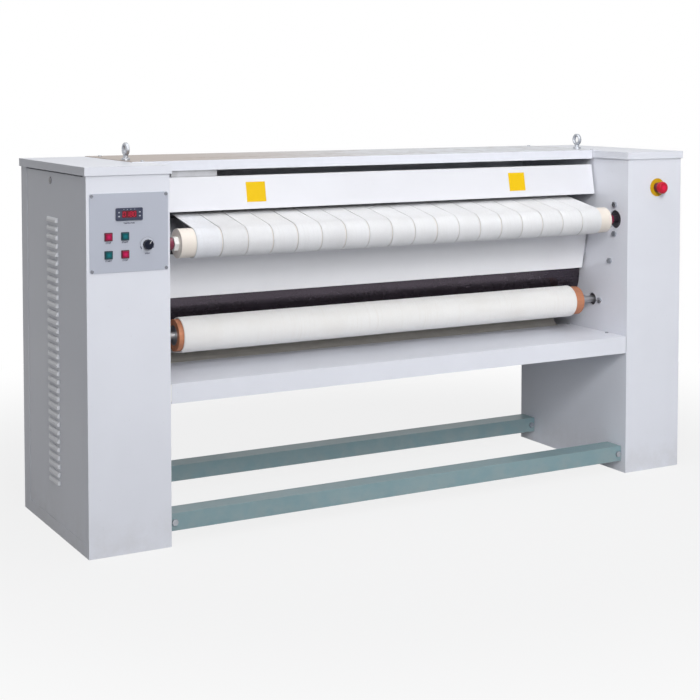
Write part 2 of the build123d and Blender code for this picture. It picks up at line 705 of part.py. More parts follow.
def top_cover():
    """Sheet over the drum, lying on both lids, with a front and a rear lip and steam slots."""
    y = (FRONT_Y + COVER_DEPTH, BACK_Y + LID_OVERHANG)
    top = block(between_walls(-COVER_LAP), y, (LID_TOP, COVER_TOP))
    lip_x = between_walls(1.0)
    front = block(lip_x, (y[0], y[0] + SHEET), (COVER_TOP - COVER_LIP, COVER_TOP))
    rear = block(lip_x, (y[1] - SHEET, y[1]), (BODY_HEIGHT, COVER_TOP))
    first, last = between_walls(SLOT_MARGIN)
    count = int((last - first) / SLOT_PITCH) + 1
    slots = [
        block(
            (first + i * SLOT_PITCH - SLOT_LENGTH / 2, first + i * SLOT_PITCH + SLOT_LENGTH / 2),
            depth(SLOT_DEPTH - SLOT_WIDTH / 2, SLOT_DEPTH + SLOT_WIDTH / 2),
            (LID_TOP - 1, COVER_TOP + 1),
        )
        for i in range(count)
    ]
    holes = [
        rod_z(EYE_SHANK + SEAT, (LID_TOP - 1, COVER_TOP + 1), eye_place(side))
        for side in (LEFT, RIGHT)
    ]
    return top + front + rear - slots - holes


def cover_stiffener():
    """Angle under the left end of the top cover, its flange against the cover."""
    x = from_wall(LEFT, -STIFFENER_SPAN[0], -STIFFENER_SPAN[1])
    face = FRONT_Y + COVER_DEPTH + STIFFENER_BEHIND
    flange, height = STIFFENER_SIZE
    upright = block(x, (face, face + SHEET), (LID_TOP - height, LID_TOP))
    return upright + block(x, (face, face + flange), (LID_TOP - SHEET, LID_TOP))


def centre_rear_cover():
    """Rear sheet between the cabinets, with a folded lower edge."""
    x = between_walls(CLOSE_GAP)
    sheet = block(x, (BACK_Y - SHEET, BACK_Y), (REAR_COVER_BOTTOM, LID_UNDERSIDE))
    fold = block(
        x, (BACK_Y - SHELF_RETURN, BACK_Y), (REAR_COVER_BOTTOM, REAR_COVER_BOTTOM + SHEET)
    )
    return sheet + fold


def rear_screw_places():
    """(x, z) of the screws that hold the three rear covers."""
    inset, rise = REAR_SCREW_INSETS
    heights = (rise, BODY_HEIGHT / 2, BODY_HEIGHT - rise)
    places = []
    for side in (LEFT, RIGHT):
        for x in (from_outside(side, inset, inset)[0], wall_x(side) + side * WALL_PLATE / 2):
            places += [(x, z) for z in heights]
    return places


def pan_screw_y(place, face, way):
    """Pan head screw along Y; its head stands on a face and looks towards way."""
    x, z = place
    head = rod_y(SCREW_HEAD, ordered(face, face + way * SCREW_HEAD_THICK), (x, z))
    dent = rod_y(SCREW_DENT, ordered(face + way * SCREW_HEAD_THICK, face + way), (x, z))
    return head - dent


# ---------------------------------------------------------------- shelf, apron, ties
def receiving_shelf():
    x = between_walls(SHELF_GAP)
    top = block(x, depth(0, SHELF_DEPTH), (SHELF_TOP - SHELF_SHEET, SHELF_TOP))
    low = SHELF_TOP - SHELF_LIP
    lip = block(x, depth(0, SHELF_SHEET), (low, SHELF_TOP))
    fold = block(x, depth(0, SHELF_RETURN), (low, low + SHELF_SHEET))
    rear = block(
        x, depth(SHELF_DEPTH - SHELF_SHEET, SHELF_DEPTH), (REAR_COVER_BOTTOM, SHELF_TOP)
    )
    holes = [
        rod_z(SCREW_SHANK + SEAT, (SHELF_TOP - 2 * SHELF_SHEET, SHELF_TOP + 1), place)
        for place in shelf_screw_places()
    ]
    return top + lip + fold + rear - holes


def shelf_screw_places():
    return [
        (wall_x(side) - side * SHELF_SCREW_INSET, FRONT_Y + d)
        for side in (LEFT, RIGHT)
        for d in SHELF_SCREW_DEPTHS
    ]


def cover_screw_places():
    return [
        (wall_x(side) + side * WALL_PLATE / 2, FRONT_Y + d)
        for side in (LEFT, RIGHT)
        for d in COVER_SCREW_DEPTHS
    ]


def cover_screw(place):
    """Pan head screw on the top cover."""
    head = rod_z(SCREW_HEAD + 1, (COVER_TOP, COVER_TOP + SCREW_HEAD_THICK + 1), place)
    return fillet(head.edges().group_by(Axis.Z)[-1], 1.5)


def shelf_bracket(side):
    """Angle on the wall under the shelf's end."""
    y = depth(SHELF_RETURN + 4, SHELF_DEPTH - SHELF_SHEET - 2)
    under = SHELF_TOP - SHELF_SHEET
    level = block(from_wall(side, -BRACKET_LEG, 0), y, (under - BRACKET_SHEET, under))
    upright = block(from_wall(side, -BRACKET_SHEET, 0), y, (under - BRACKET_LEG, under))
    holes = [
        rod_z(SCREW_SHANK + SEAT, (under - 2 * BRACKET_SHEET, under + 1), place)
        for place in shelf_screw_places()
    ]
    return level + upright - holes


def shelf_screw(place):
    """Pan head screw down through the shelf and its bracket."""
    head = rod_z(SCREW_HEAD + 1, (SHELF_TOP, SHELF_TOP + SCREW_HEAD_THICK + 1), place)
    shank = rod_z(SCREW_SHANK, (SHELF_TOP - 12, SHELF_TOP), place)
    return head + shank


def apron_panel():
    """Leaning sheet in front of the drum, its edges folded back."""
    top, bottom = before_drum(APRON_TOP), before_drum(APRON_BOTTOM)
    line = [
        (bottom[0] + APRON_RETURN, bottom[1] + APRON_RETURN_DROP),
        bottom,
        top,
        (top[0] + APRON_RETURN, top[1] - APRON_RETURN_DROP),
    ]
    return prism(strip(list(reversed(line)), SHEET), between_walls(SIDE_GAP))


def apron_bracket(side):
    """Z-shaped bracket behind the apron's end, screwed to the wall."""
    top, bottom = before_drum(APRON_TOP), before_drum(APRON_BOTTOM)
    lean = math.degrees(math.atan2(bottom[0] - top[0], top[1] - bottom[1]))
    tab_y = (SHEET + SEAT / 3, SHEET + SEAT / 3 + BRACKET_SHEET)
    tilt = Pos(0, (top[0] + bottom[0]) / 2, (top[1] + bottom[1]) / 2) * Rot(lean, 0, 0)
    z = (-APRON_TAB / 2, APRON_TAB / 2)
    tab = tilt * block(from_wall(side, -SIDE_GAP - BRACKET_LEG, 0), tab_y, z)
    foot = tilt * block(from_wall(side, -BRACKET_SHEET, 0), (tab_y[0], tab_y[0] + APRON_FOOT), z)
    return tab + foot


def bottom_cover():
    """Tray that closes the machine underneath, from the shelf to the rear cover."""
    x = between_walls(CLOSE_GAP)
    low = REAR_COVER_BOTTOM + SHEET
    floor = block(
        x, (FRONT_Y + SHELF_DEPTH, BACK_Y - SHEET), (low, low + SHEET)
    )
    upstand = block(
        x, (FRONT_Y + SHELF_DEPTH, FRONT_Y + SHELF_DEPTH + SHEET), (low, SHELF_TOP - SHELF_SHEET)
    )
    return floor + upstand


def guide_plate():
    """Chute that stands on the shelf's rear edge and leads linen forward."""
    edge = FRONT_Y + SHELF_DEPTH
    start, bend = [(edge - ahead, SHELF_TOP) for ahead in GUIDE_FOOT]
    top = (edge + GUIDE_TOP[0], SHELF_TOP + GUIDE_TOP[1])
    return prism(strip([start, bend, top], SHEET), between_walls(GUIDE_INSET))


def tie_channel(front):
    """Channel between the cabinets, its web to the front."""
    y = depth(front, front + TIE_WIDTH)
    z = (TIE_BOTTOM, TIE_BOTTOM + TIE_HEIGHT)
    x = between_walls(TIE_END_GAP)
    inside = block(
        (x[0] - 1, x[1] + 1), (y[0] + TIE_WALL, y[1] + 1), (z[0] + TIE_WALL, z[1] - TIE_WALL)
    )
    holes = [rod_y(BOLT_RADIUS + BOLT_GAP, (y[0] - 1, y[0] + TIE_WALL + 1), p) for p in tie_bolts()]
    return block(x, y, z) - inside - holes


def tie_bolts():
    """(x, z) of the bolts through the webs of the ties."""
    z = TIE_BOTTOM + TIE_HEIGHT / 2
    return [(wall_x(side) - side * TIE_BOLT_INSET, z) for side in (LEFT, RIGHT)]


def tie_lug(side, front):
    """Angle that joins a tie to the wall: one leg on the wall, one behind the web."""
    y0 = FRONT_Y + front + TIE_WALL
    z = (TIE_BOTTOM + TIE_WALL + 1, TIE_BOTTOM + TIE_HEIGHT - TIE_WALL - 1)
    web = block(from_wall(side, -TIE_LUG, 0), (y0, y0 + TIE_LUG_SHEET), z)
    foot = block(from_wall(side, -TIE_LUG_SHEET, 0), (y0, FRONT_Y + front + TIE_WIDTH - TIE_LUG_INSET), z)
    holes = [rod_y(BOLT_RADIUS + BOLT_GAP, (y0 - 1, y0 + TIE_LUG_SHEET + 1), p) for p in tie_bolts()]
    return web + foot - holes


def tie_bolt(place, front):
    """Hexagon bolt through a tie's web and its lug, with a nut behind."""
    face = FRONT_Y + front
    back = face + TIE_WALL + TIE_LUG_SHEET
    x, z = place
    head_plane = Plane(origin=(x, face, z), x_dir=(1, 0, 0), z_dir=(0, -1, 0))
    hexagon = RegularPolygon(BOLT_HEAD / 2, 6, major_radius=False)
    head = extrude(head_plane * hexagon, BOLT_HEAD_THICK)
    nut_plane = Plane(origin=(x, back, z), x_dir=(1, 0, 0), z_dir=(0, 1, 0))
    nut = extrude(nut_plane * hexagon, BOLT_HEAD_THICK)
    return head + nut + rod_y(BOLT_RADIUS, (face - 1, back + BOLT_HEAD_THICK + BOLT_PAST_NUT), place)


# ---------------------------------------------------------------- bearings
def flange_bearings():
    """(centre, shaft radius, bolt span, upright) of each pair of two-bolt bearings."""
    small = [(centre, GUIDE_ROLLER_SHAFT, SMALL_BOLT_SPAN, True) for centre in GUIDES]
    return [
        (FEED, FEED_SHAFT, FEED_BOLT_SPAN, True),
        (LOWER, LOWER_SHAFT, LOWER_BOLT_SPAN, False),
        (REAR_FEED, GUIDE_ROLLER_SHAFT, SMALL_BOLT_SPAN, False),
        *small,
    ]


def ears(centre, span, upright):
    half = span / 2
    if upright:
        return [(centre[0], centre[1] - half), (centre[0], centre[1] + half)]
    return [(centre[0] - half, centre[1]), (centre[0] + half, centre[1])]


def drum_bearing_bolts():
    half = DRUM_BEARING_BOLTS / 2
    return [(DRUM[0] + a * half, DRUM[1] + b * half) for a in (-1, 1) for b in (-1, 1)]


def bearing_bolt_places():
    places = drum_bearing_bolts()
    for centre, _, span, upright in flange_bearings():
        places += ears(centre, span, upright)
    return places


def flange_bearing(side, centre, shaft, span, upright):
    """Oval cast housing on the cabinet side of the wall plate."""
    scale = min(1.0, span / FEED_BOLT_SPAN + 0.12)
    circles = [Pos(*centre) * Circle(BEARING_BODY * scale)]
    circles += [Pos(*ear) * Circle(BEARING_EAR * scale) for ear in ears(centre, span, upright)]
    outline = make_hull([edge for circle in circles for edge in circle.edges()])
    plate = prism(outline, from_wall(side, WALL_PLATE, WALL_PLATE + BEARING_PLATE))
    boss = rod_x(BEARING_BOSS * scale, from_wall(side, WALL_PLATE, WALL_PLATE + BEARING_DEPTH), centre)
    bore = rod_x(shaft + FIT, from_wall(side, 0, WALL_PLATE + BEARING_DEPTH + 1), centre)
    x = from_wall(side, 0, WALL_PLATE + BEARING_DEPTH)
    holes = [rod_x(BOLT_RADIUS + BOLT_GAP, x, ear) for ear in ears(centre, span, upright)]
    return plate + boss - bore - holes


def drum_bearing(side):
    """Square four-bolt housing for a drum journal."""
    half = DRUM_BEARING / 2
    y, z = DRUM
    plate = block(
        from_wall(side, WALL_PLATE, WALL_PLATE + BEARING_PLATE),
        (y - half, y + half),
        (z - half, z + half),
    )
    plate = fillet(plate.edges().filter_by(Axis.X), BEARING_EAR)
    boss = rod_x(DRUM_BEARING_BOSS, from_wall(side, WALL_PLATE, WALL_PLATE + BEARING_DEPTH), DRUM)
    bore = rod_x(JOURNAL_RADIUS + FIT, from_wall(side, 0, WALL_PLATE + BEARING_DEPTH + 1), DRUM)
    x = from_wall(side, 0, WALL_PLATE + BEARING_DEPTH)
    holes = [rod_x(BOLT_RADIUS + BOLT_GAP, x, place) for place in drum_bearing_bolts()]
    return plate + boss - bore - holes


def wall_bolt_place():
    return (FRONT_Y + WALL_BOLT[0], BODY_HEIGHT - WALL_BOLT[1])


def wall_bolt(side, centre, end):
    """Hexagon bolt from the rollers' side through the wall plate, with its nut at end."""
    head = hex_x(BOLT_HEAD, from_wall(side, -BOLT_HEAD_THICK, 0), centre)
    nut = hex_x(BOLT_HEAD, from_wall(side, end, end + BOLT_HEAD_THICK), centre)
    shank = rod_x(BOLT_RADIUS, from_wall(side, -1, end + BOLT_HEAD_THICK + BOLT_PAST_NUT), centre)
    return head + nut + shank


# ---------------------------------------------------------------- rollers, drum, belts
def roller(centre, radius, wall, x, shaft, reach):
    """Tube with closed ends and a stub shaft each side, reaching past the wall plates."""
    tube = rod_x(radius, x, centre) - rod_x(radius - wall, (x[0] + wall, x[1] - wall), centre)
    stubs = [
        rod_x(shaft, ordered(wall_x(side) + side * reach[side], x[(side + 1) // 2]), centre)
        for side in (LEFT, RIGHT)
    ]
    return tube + stubs


def bearing_reach(extra):
    return WALL_PLATE + BEARING_DEPTH + extra


def feed_roller_hub(side):
    """Hexagon locking hub on the roller's end."""
    x = from_wall(side, -FEED_END_GAP, -FEED_END_GAP + FEED_HUB_THICK)
    return hex_x(FEED_HUB, x, FEED) - rod_x(FEED_SHAFT, x, FEED)


def feed_roller_collar(side):
    """Turned collar between the hub and the wall."""
    start = FEED_HUB_THICK + FEED_COLLAR_GAP - FEED_END_GAP
    x = from_wall(side, start, start + FEED_COLLAR_THICK)
    ring = rod_x(FEED_COLLAR, x, FEED)
    ring = chamfer(ring.edges().filter_by(GeomType.CIRCLE), FEED_COLLAR_CHAMFER)
    return ring - rod_x(FEED_SHAFT, x, FEED)


def feed_belt(index):
    turns = [(FEED, BELT_FRONT, 1), (REAR_FEED, BELT_REAR, 1)]
    middle = (wall_x(LEFT) + wall_x(RIGHT)) / 2
    start = middle + (index - BELT_COUNT / 2) * BELT_PITCH + BELT_SPACE / 2
    return prism(band_face(turns, BELT_THICK), (start, start + BELT_PITCH - BELT_SPACE))


def blanket():
    """Ironing blanket: round the lower roller, behind and below the drum, over two guides."""
    turns = [
        (GUIDES[0], GUIDE_ROLLER_RADIUS + SEAT, 1),
        (DRUM, DRUM_RADIUS + SEAT, -1),
        (LOWER, LOWER_RADIUS + SEAT, 1),
        (GUIDES[1], GUIDE_ROLLER_RADIUS + SEAT, 1),
    ]
    return prism(band_face(turns, BLANKET_THICK), between_walls(*CLOTH_ROOMS))


def drum_shell():
    """Rolled drum with a welded disc set into each end."""
    x = between_walls(SIDE_GAP)
    shell = rod_x(DRUM_RADIUS, x, DRUM) - rod_x(DRUM_RADIUS - DRUM_WALL, (x[0] - 1, x[1] + 1), DRUM)
    discs = []
    for side in (LEFT, RIGHT):
        inset = SIDE_GAP + DRUM_DISC_INSET
        span = from_wall(side, -inset - DRUM_DISC, -inset)
        disc = rod_x(DRUM_RADIUS - DRUM_WALL + 1, span, DRUM) - rod_x(JOURNAL_RADIUS, span, DRUM)
        discs.append(disc)
    return shell + discs


def journal(side):
    """Hollow journal bolted to the drum's disc."""
    inset = SIDE_GAP + DRUM_DISC_INSET
    reach = bearing_reach(SHAFT_PAST_BEARING)
    if side == LEFT:
        reach = FEED_SPROCKET_OFFSET + SPROCKET_WIDTH + SHAFT_PAST_BEARING
    flange = rod_x(JOURNAL_FLANGE, from_wall(side, -inset, -inset + JOURNAL_FLANGE_THICK), DRUM)
    tube = rod_x(JOURNAL_RADIUS, from_wall(side, -inset - DRUM_DISC, reach), DRUM)
    bore = rod_x(JOURNAL_BORE, from_wall(side, -inset - DRUM_DISC - 1, reach + 1), DRUM)
    return flange + tube - bore


def heater_places():
    turn = 2 * math.pi / HEATER_COUNT
    return [
        (DRUM[0] + HEATER_CIRCLE * math.cos(i * turn), DRUM[1] + HEATER_CIRCLE * math.sin(i * turn))
        for i in range(HEATER_COUNT)
    ]


def heater_rod(centre):
    return rod_x(HEATER_ROD, between_walls(HEATER_MARGIN), centre)


def heater_spider(index):
    """Disc on the still tube inside the drum; it holds the heater rods."""
    first, last = between_walls(HEATER_MARGIN + HEATER_SPIDER_INSET)
    x = first + (last - first) * index / (HEATER_SPIDERS - 1)
    span = (x - HEATER_SPIDER_THICK / 2, x + HEATER_SPIDER_THICK / 2)
    disc = rod_x(HEATER_CIRCLE + 2 * HEATER_ROD, span, DRUM) - rod_x(HEATER_TUBE, span, DRUM)
    return disc - [rod_x(HEATER_ROD + SEAT, span, centre) for centre in heater_places()]


def heater_tube():
    x = between_walls(-BRIDGE_STAND_OFF - BRIDGE_SHEET - HEATER_TUBE_PAST)
    return rod_x(HEATER_TUBE, x, DRUM) - rod_x(HEATER_TUBE_BORE, x, DRUM)


def heater_bridge(side):
    """Bracket over the drum bearing; it carries the end of the heaters' still tube."""
    y = (DRUM[0] - BRIDGE_WIDTH / 2, DRUM[0] + BRIDGE_WIDTH / 2)
    reach = BRIDGE_LEG + BRIDGE_SHEET
    plate = block(
        from_wall(side, BRIDGE_STAND_OFF, BRIDGE_STAND_OFF + BRIDGE_SHEET),
        y,
        (DRUM[1] - reach, DRUM[1] + reach),
    )
    legs = [
        block(
            from_wall(side, WALL_PLATE, BRIDGE_STAND_OFF),
            y,
            ordered(DRUM[1] + way * BRIDGE_LEG, DRUM[1] + way * reach),
        )
        for way in (-1, 1)
    ]
    return plate + legs - rod_x(HEATER_TUBE, from_wall(side, 0, 2 * BRIDGE_STAND_OFF), DRUM)


# ---------------------------------------------------------------- drive
def pitch_radius(pitch, teeth):
    return pitch / (2 * math.sin(math.pi / teeth))


def tip_radius(pitch, teeth):
    return pitch_radius(pitch, teeth) + 0.28 * pitch


def sprocket(centre, pitch, teeth, offset, bore, hub):
    """Chain wheel with plain flanked teeth and a hub, fitted on its shaft."""
    root = pitch_radius(pitch, teeth) - 0.31 * pitch
    tip = tip_radius(pitch, teeth)
    step = 2 * math.pi / teeth
    points = []
    for i in range(teeth):
        middle = math.pi / 2 + i * step
        for radius, share in ((root, -0.36), (tip, -0.12), (tip, 0.12), (root, 0.36)):
            angle = middle + share * step
            points.append((centre[0] + radius * math.cos(angle), centre[1] + radius * math.sin(angle)))
    x = from_wall(LEFT, offset, offset + SPROCKET_WIDTH)
    wheel = prism(Polygon(*points, align=None), x)
    boss = rod_x(hub, from_wall(LEFT, offset - SPROCKET_HUB, offset), centre)
    through = from_wall(LEFT, offset - SPROCKET_HUB - 1, offset + SPROCKET_WIDTH + 1)
    return wheel + boss - rod_x(bore, through, centre)


def chain(pitch, turns, offset):
    """Roller chain: two runs of link plates beside the teeth, joined by rollers between wheels."""
    half = 0.38 * pitch
    flat = [(centre, pitch_radius(pitch, teeth) - half, 1) for centre, teeth in turns]
    plates = []
    inner = offset - CHAIN_SIDE_GAP
    outer = offset + SPROCKET_WIDTH + CHAIN_SIDE_GAP
    for x in (from_wall(LEFT, inner - CHAIN_PLATE, inner), from_wall(LEFT, outer, outer + CHAIN_PLATE)):
        plates.append(prism(band_face(flat, 2 * half), x))
    (a, a_teeth), (b, b_teeth) = turns
    pair = [(a, pitch_radius(pitch, a_teeth), 1), (b, pitch_radius(pitch, b_teeth), 1)]
    rollers = []
    span = from_wall(LEFT, inner - CHAIN_PLATE, outer + CHAIN_PLATE)
    for first, second in ((0, 1), (1, 0)):
        start, end = tangent(pair[first], pair[second])
        length = math.hypot(end[0] - start[0], end[1] - start[1])
        teeth = [turns[first][1], turns[second][1]]
        clear = [
            math.sqrt((tip_radius(pitch, t) + CHAIN_ROLLER + 0.5) ** 2 - pitch_radius(pitch, t) ** 2)
            for t in teeth
        ]
        place = clear[0]
        while place < length - clear[1]:
            share = place / length
            centre = (start[0] + (end[0] - start[0]) * share, start[1] + (end[1] - start[1]) * share)
            rollers.append(rod_x(CHAIN_ROLLER, span, centre))
            place += pitch
    return plates[0] + plates[1] + rollers


def gearbox():
    """Worm gearbox with cooling ribs, its output towards the wall plate."""
    width, length, height = GEARBOX
    x = from_wall(LEFT, GEARBOX_OFFSET, GEARBOX_OFFSET + width)
    y = (MOTOR[0] - length / 2, MOTOR[0] + length / 2)
    z = (MOTOR[1] - height / 2, MOTOR[1] + height / 2)
    case = fillet(block(x, y, z).edges().filter_by(Axis.X), GEARBOX_FILLET)
    nose_radius, nose_length = GEARBOX_NOSE
    nose = rod_x(nose_radius, from_wall(LEFT, GEARBOX_OFFSET - nose_length, GEARBOX_OFFSET), MOTOR)
    rib_out, rib_height = GEARBOX_RIB
    first = z[0] + GEARBOX_RIB_FIRST
    lows = [first + i * GEARBOX_RIB_PITCH for i in range(GEARBOX_RIBS)]
    ribs = [block(x, (y[0] - rib_out, y[0]), (low, low + rib_height)) for low in lows]
    case = case + nose + ribs
    bore_x = from_wall(LEFT, 0, GEARBOX_OFFSET + width - GEARBOX_BACK_WALL)
    return case - rod_x(MOTOR_SHAFT + FIT, bore_x, MOTOR)


def motor_axis_x():
    x = from_wall(LEFT, GEARBOX_OFFSET, GEARBOX_OFFSET + GEARBOX[0])
    return (x[0] + x[1]) / 2


def drive_motor():
    """Ribbed motor behind the gearbox, with a terminal box and a fan cowl."""
    start = MOTOR[0] + GEARBOX[1] / 2
    centre = (motor_axis_x(), MOTOR[1])
    cowl_radius, cowl_length = MOTOR_COWL
    ribbed = (start + MOTOR_FLANGE, start + MOTOR_LENGTH - cowl_length)
    flange = rod_y(MOTOR_RADIUS, (start, ribbed[0]), centre)
    body = rod_y(MOTOR_CORE, ribbed, centre)
    cowl = rod_y(cowl_radius, (ribbed[1], start + MOTOR_LENGTH), centre)
    cowl = fillet(cowl.edges().group_by(Axis.Y)[-1], MOTOR_COWL_FILLET)
    fin_height, fin_thick = MOTOR_FIN
    fins = [
        Pos(centre[0], (ribbed[0] + ribbed[1]) / 2, centre[1])
        * Rot(0, i * 360 / MOTOR_FINS, 0)
        * Pos(MOTOR_RADIUS - 1 - fin_height / 2, 0, 0)
        * Box(fin_height, ribbed[1] - ribbed[0], fin_thick)
        for i in range(MOTOR_FINS)
    ]
    width, length, height = TERMINAL_BOX
    low = centre[1] + TERMINAL_BOX_RISE
    box_start = start + TERMINAL_BOX_START
    terminal_box = block(
        (centre[0] - width / 2, centre[0] + width / 2), (box_start, box_start + length), (low, low + height)
    )
    return flange + body + cowl + fins + terminal_box


def motor_stand():
    """Folded stand under the gearbox."""
    low = MOTOR[1] - GEARBOX[2] / 2
    x = from_wall(LEFT, GEARBOX_OFFSET, GEARBOX_OFFSET + GEARBOX[0])
    y = (MOTOR[0] - GEARBOX[1] / 2, MOTOR[0] + GEARBOX[1] / 2)
    top = block(x, y, (low - STAND_SHEET, low))
    legs = [
        block(x, span, (BASE_SHEET, low))
        for span in ((y[0], y[0] + STAND_SHEET), (y[1] - STAND_SHEET, y[1]))
    ]
    feet = [
        block(x, span, (BASE_SHEET, BASE_SHEET + STAND_SHEET))
        for span in ((y[0] - STAND_FOOT, y[0]), (y[1], y[1] + STAND_FOOT))
    ]
    return top + legs + feet


def electrical_box():
    """Contactor box on the wall plate, a shell with a lid seat towards the side panel."""
    width, length, height = EBOX_SIZE
    x = from_wall(LEFT, WALL_PLATE, WALL_PLATE + width)
    y = depth(EBOX_DEPTH, EBOX_DEPTH + length)
    z = (EBOX_BOTTOM, EBOX_BOTTOM + height)
    shell = block(x, y, z)
    hollow = block(
        (x[0] - 1, x[1] - SHEET), (y[0] + SHEET, y[1] - SHEET), (z[0] + SHEET, z[1] - SHEET)
    )
    return shell - hollow


def electrical_box_lid():
    width, length, height = EBOX_SIZE
    x = from_wall(LEFT, WALL_PLATE + width, WALL_PLATE + width + SHEET)
    y = depth(EBOX_DEPTH - SHEET, EBOX_DEPTH + length + SHEET)
    return block(x, y, (EBOX_BOTTOM - SHEET, EBOX_BOTTOM + height + SHEET))


def contactors():
    """Contactors in a row on the back of the box."""
    width, length, height = CONTACTOR_SIZE
    x = from_wall(LEFT, WALL_PLATE + SHEET, WALL_PLATE + SHEET + width)
    pitch = (EBOX_SIZE[1] - 2 * CONTACTOR_MARGIN) / CONTACTOR_COUNT
    low = EBOX_BOTTOM + CONTACTOR_RISE
    pieces = []
    for i in range(CONTACTOR_COUNT):
        start = EBOX_DEPTH + CONTACTOR_MARGIN + i * pitch
        pieces.append(block(x, depth(start, start + length), (low, low + height)))
    return pieces


# ---------------------------------------------------------------- finger guard
def guard_pivot():
    y, z = GUARD_TOP
    return (y + GUARD_PIN_INSET[0], z - GUARD_PIN_INSET[1])


def guard_outline(shrink):
    top, bottom = GUARD_TOP, GUARD_BOTTOM
    return [
        (bottom[0] + GUARD_BOTTOM_RETURN, bottom[1] + shrink),
        (bottom[0] + shrink, bottom[1] + shrink),
        (top[0] + shrink, top[1] - shrink),
        (top[0] + GUARD_TOP_RETURN, top[1] - shrink),
    ]


def finger_guard():
    """Folded guard bar over the feed gap, hung by its top edge, with a cheek at each end."""
    x = between_walls(SIDE_GAP)
    skin = prism(strip(list(reversed(guard_outline(0))), GUARD_SHEET), x)
    cheek_face = Polygon(*guard_outline(GUARD_SHEET / 2), align=None)
    cheeks = [
        prism(cheek_face, from_wall(side, -SIDE_GAP - GUARD_SHEET, -SIDE_GAP))
        for side in (LEFT, RIGHT)
    ]
    inner, outer = GUARD_PIN_ENDS
    pins = [
        rod_x(GUARD_PIN, from_wall(side, -SIDE_GAP - inner, WALL_PLATE + outer), guard_pivot())
        for side in (LEFT, RIGHT)
    ]
    return skin + cheeks + pins


def yellow_plate(side):
    """Bare plate on the guard's face."""
    height = GUARD_TOP[1] - GUARD_BOTTOM[1]
    lean = math.degrees(math.atan2(GUARD_LEAN, height))
    x = wall_x(side) - side * PLATE_INSETS[side]
    y = GUARD_TOP[0] - GUARD_LEAN * PLATE_BELOW_TOP / height
    z = GUARD_TOP[1] - PLATE_BELOW_TOP
    width, height = PLATE_SIZE
    flat = Pos(0, -PLATE_THICK / 2, 0) * Box(width, PLATE_THICK, height)
    return Pos(x, y, z) * Rot(-lean, 0, 0) * flat


def guard_switch():
    """Limit switch behind the guard's left end, on a bracket from the wall."""
    width, length, height = SWITCH_SIZE
    x = from_wall(LEFT, -SIDE_GAP - width, -SIDE_GAP)
    y = (GUARD_TOP[0] + SWITCH_BEHIND, GUARD_TOP[0] + SWITCH_BEHIND + length)
    middle = BODY_HEIGHT - SWITCH_DROP
    z = (middle - height / 2, middle + height / 2)
    body = fillet(block(x, y, z).edges().filter_by(Axis.X), SWITCH_FILLET)
    bracket_z = (z[0] + SWITCH_BRACKET_INSET, z[1] - SWITCH_BRACKET_INSET)
    bracket = block(from_wall(LEFT, -SIDE_GAP, 0), y, bracket_z)
    lever = block(
        (x[0] + SWITCH_LEVER_X[0], x[0] + SWITCH_LEVER_X[1]),
        (y[0] - SWITCH_LEVER_PROUD, y[0]),
        (z[0] + SWITCH_LEVER_INSETS[0], z[1] - SWITCH_LEVER_INSETS[1]),
    )
    return body + bracket + lever


# ---------------------------------------------------------------- lifting eyes
def eye_place(side):
    return (wall_x(side) + side * EYE_INSET, (FRONT_Y + BACK_Y) / 2)


def lifting_eye(side):
    """Forged eye bolt through the top cover, the lid and the wall plate's flange."""
    x, y = eye_place(side)
    centre = (y, COVER_TOP + EYE_CENTRE)
    thick = (x - EYE_THICK / 2, x + EYE_THICK / 2)
    ring = rod_x(EYE_RADIUS, thick, centre) - rod_x(EYE_BORE, (x - EYE_THICK, x + EYE_THICK), centre)
    ring = chamfer(ring.edges().filter_by(GeomType.CIRCLE), EYE_CHAMFER)
    neck_top = COVER_TOP + EYE_CENTRE - (EYE_RADIUS + EYE_BORE) / 2
    neck = rod_z(EYE_NECK, (COVER_TOP, neck_top), (x, y))
    collar = rod_z(EYE_COLLAR, (COVER_TOP, COVER_TOP + EYE_COLLAR_HEIGHT), (x, y))
    rim = collar.edges().filter_by(GeomType.CIRCLE).group_by(Axis.Z)[-1]
    collar = chamfer(rim, EYE_COLLAR_CHAMFER)
    below = LID_UNDERSIDE - EYE_FLANGE[2]
    shank = rod_z(EYE_SHANK, (below - EYE_SHANK_END, COVER_TOP), (x, y))
    nut_sketch = Plane(origin=(x, y, below)) * RegularPolygon(EYE_NUT / 2, 6, major_radius=False)
    nut = extrude(nut_sketch, -BOLT_HEAD_THICK)
    return ring + neck + collar + shank + nut


# ---------------------------------------------------------------- controls
PLATE_FACE = FRONT_Y - PLATE_PROUD


def panel_screws():
    inset = PANEL_SCREW_INSET
    return [
        (from_left(x), z)
        for x in (PANEL_X[0] + inset, PANEL_X[1] - inset)
        for z in (PANEL_Z[0] + inset, PANEL_Z[1] - inset)
    ]


def panel_screw(place):
    head = rod_y(SCREW_HEAD, (PLATE_FACE - SCREW_HEAD_THICK, PLATE_FACE), place)
    slot = block(
        (place[0] - SCREW_HEAD - 1, place[0] + SCREW_HEAD + 1),
        (PLATE_FACE - SCREW_HEAD_THICK - 1, PLATE_FACE - SCREW_HEAD_THICK + 1),
        (place[1] - 0.6, place[1] + 0.6),
    )
    return head - slot + rod_y(SCREW_SHANK, (PLATE_FACE, FRONT_Y + SHEET), place)


def square(size, y, place):
    """Square bar along Y."""
    half = size / 2
    x, z = place
    return block((x - half, x + half), y, (z - half, z + half))


def button_places():
    return {
        "stop_button_upper": on_controls((BUTTON_XS[0], BUTTON_DROPS[0])),
        "start_button_upper": on_controls((BUTTON_XS[1], BUTTON_DROPS[0])),
        "start_button_lower": on_controls((BUTTON_XS[0], BUTTON_DROPS[1])),
        "stop_button_lower": on_controls((BUTTON_XS[1], BUTTON_DROPS[1])),
    }


def display_place():
    return on_controls(DISPLAY_CENTRE)


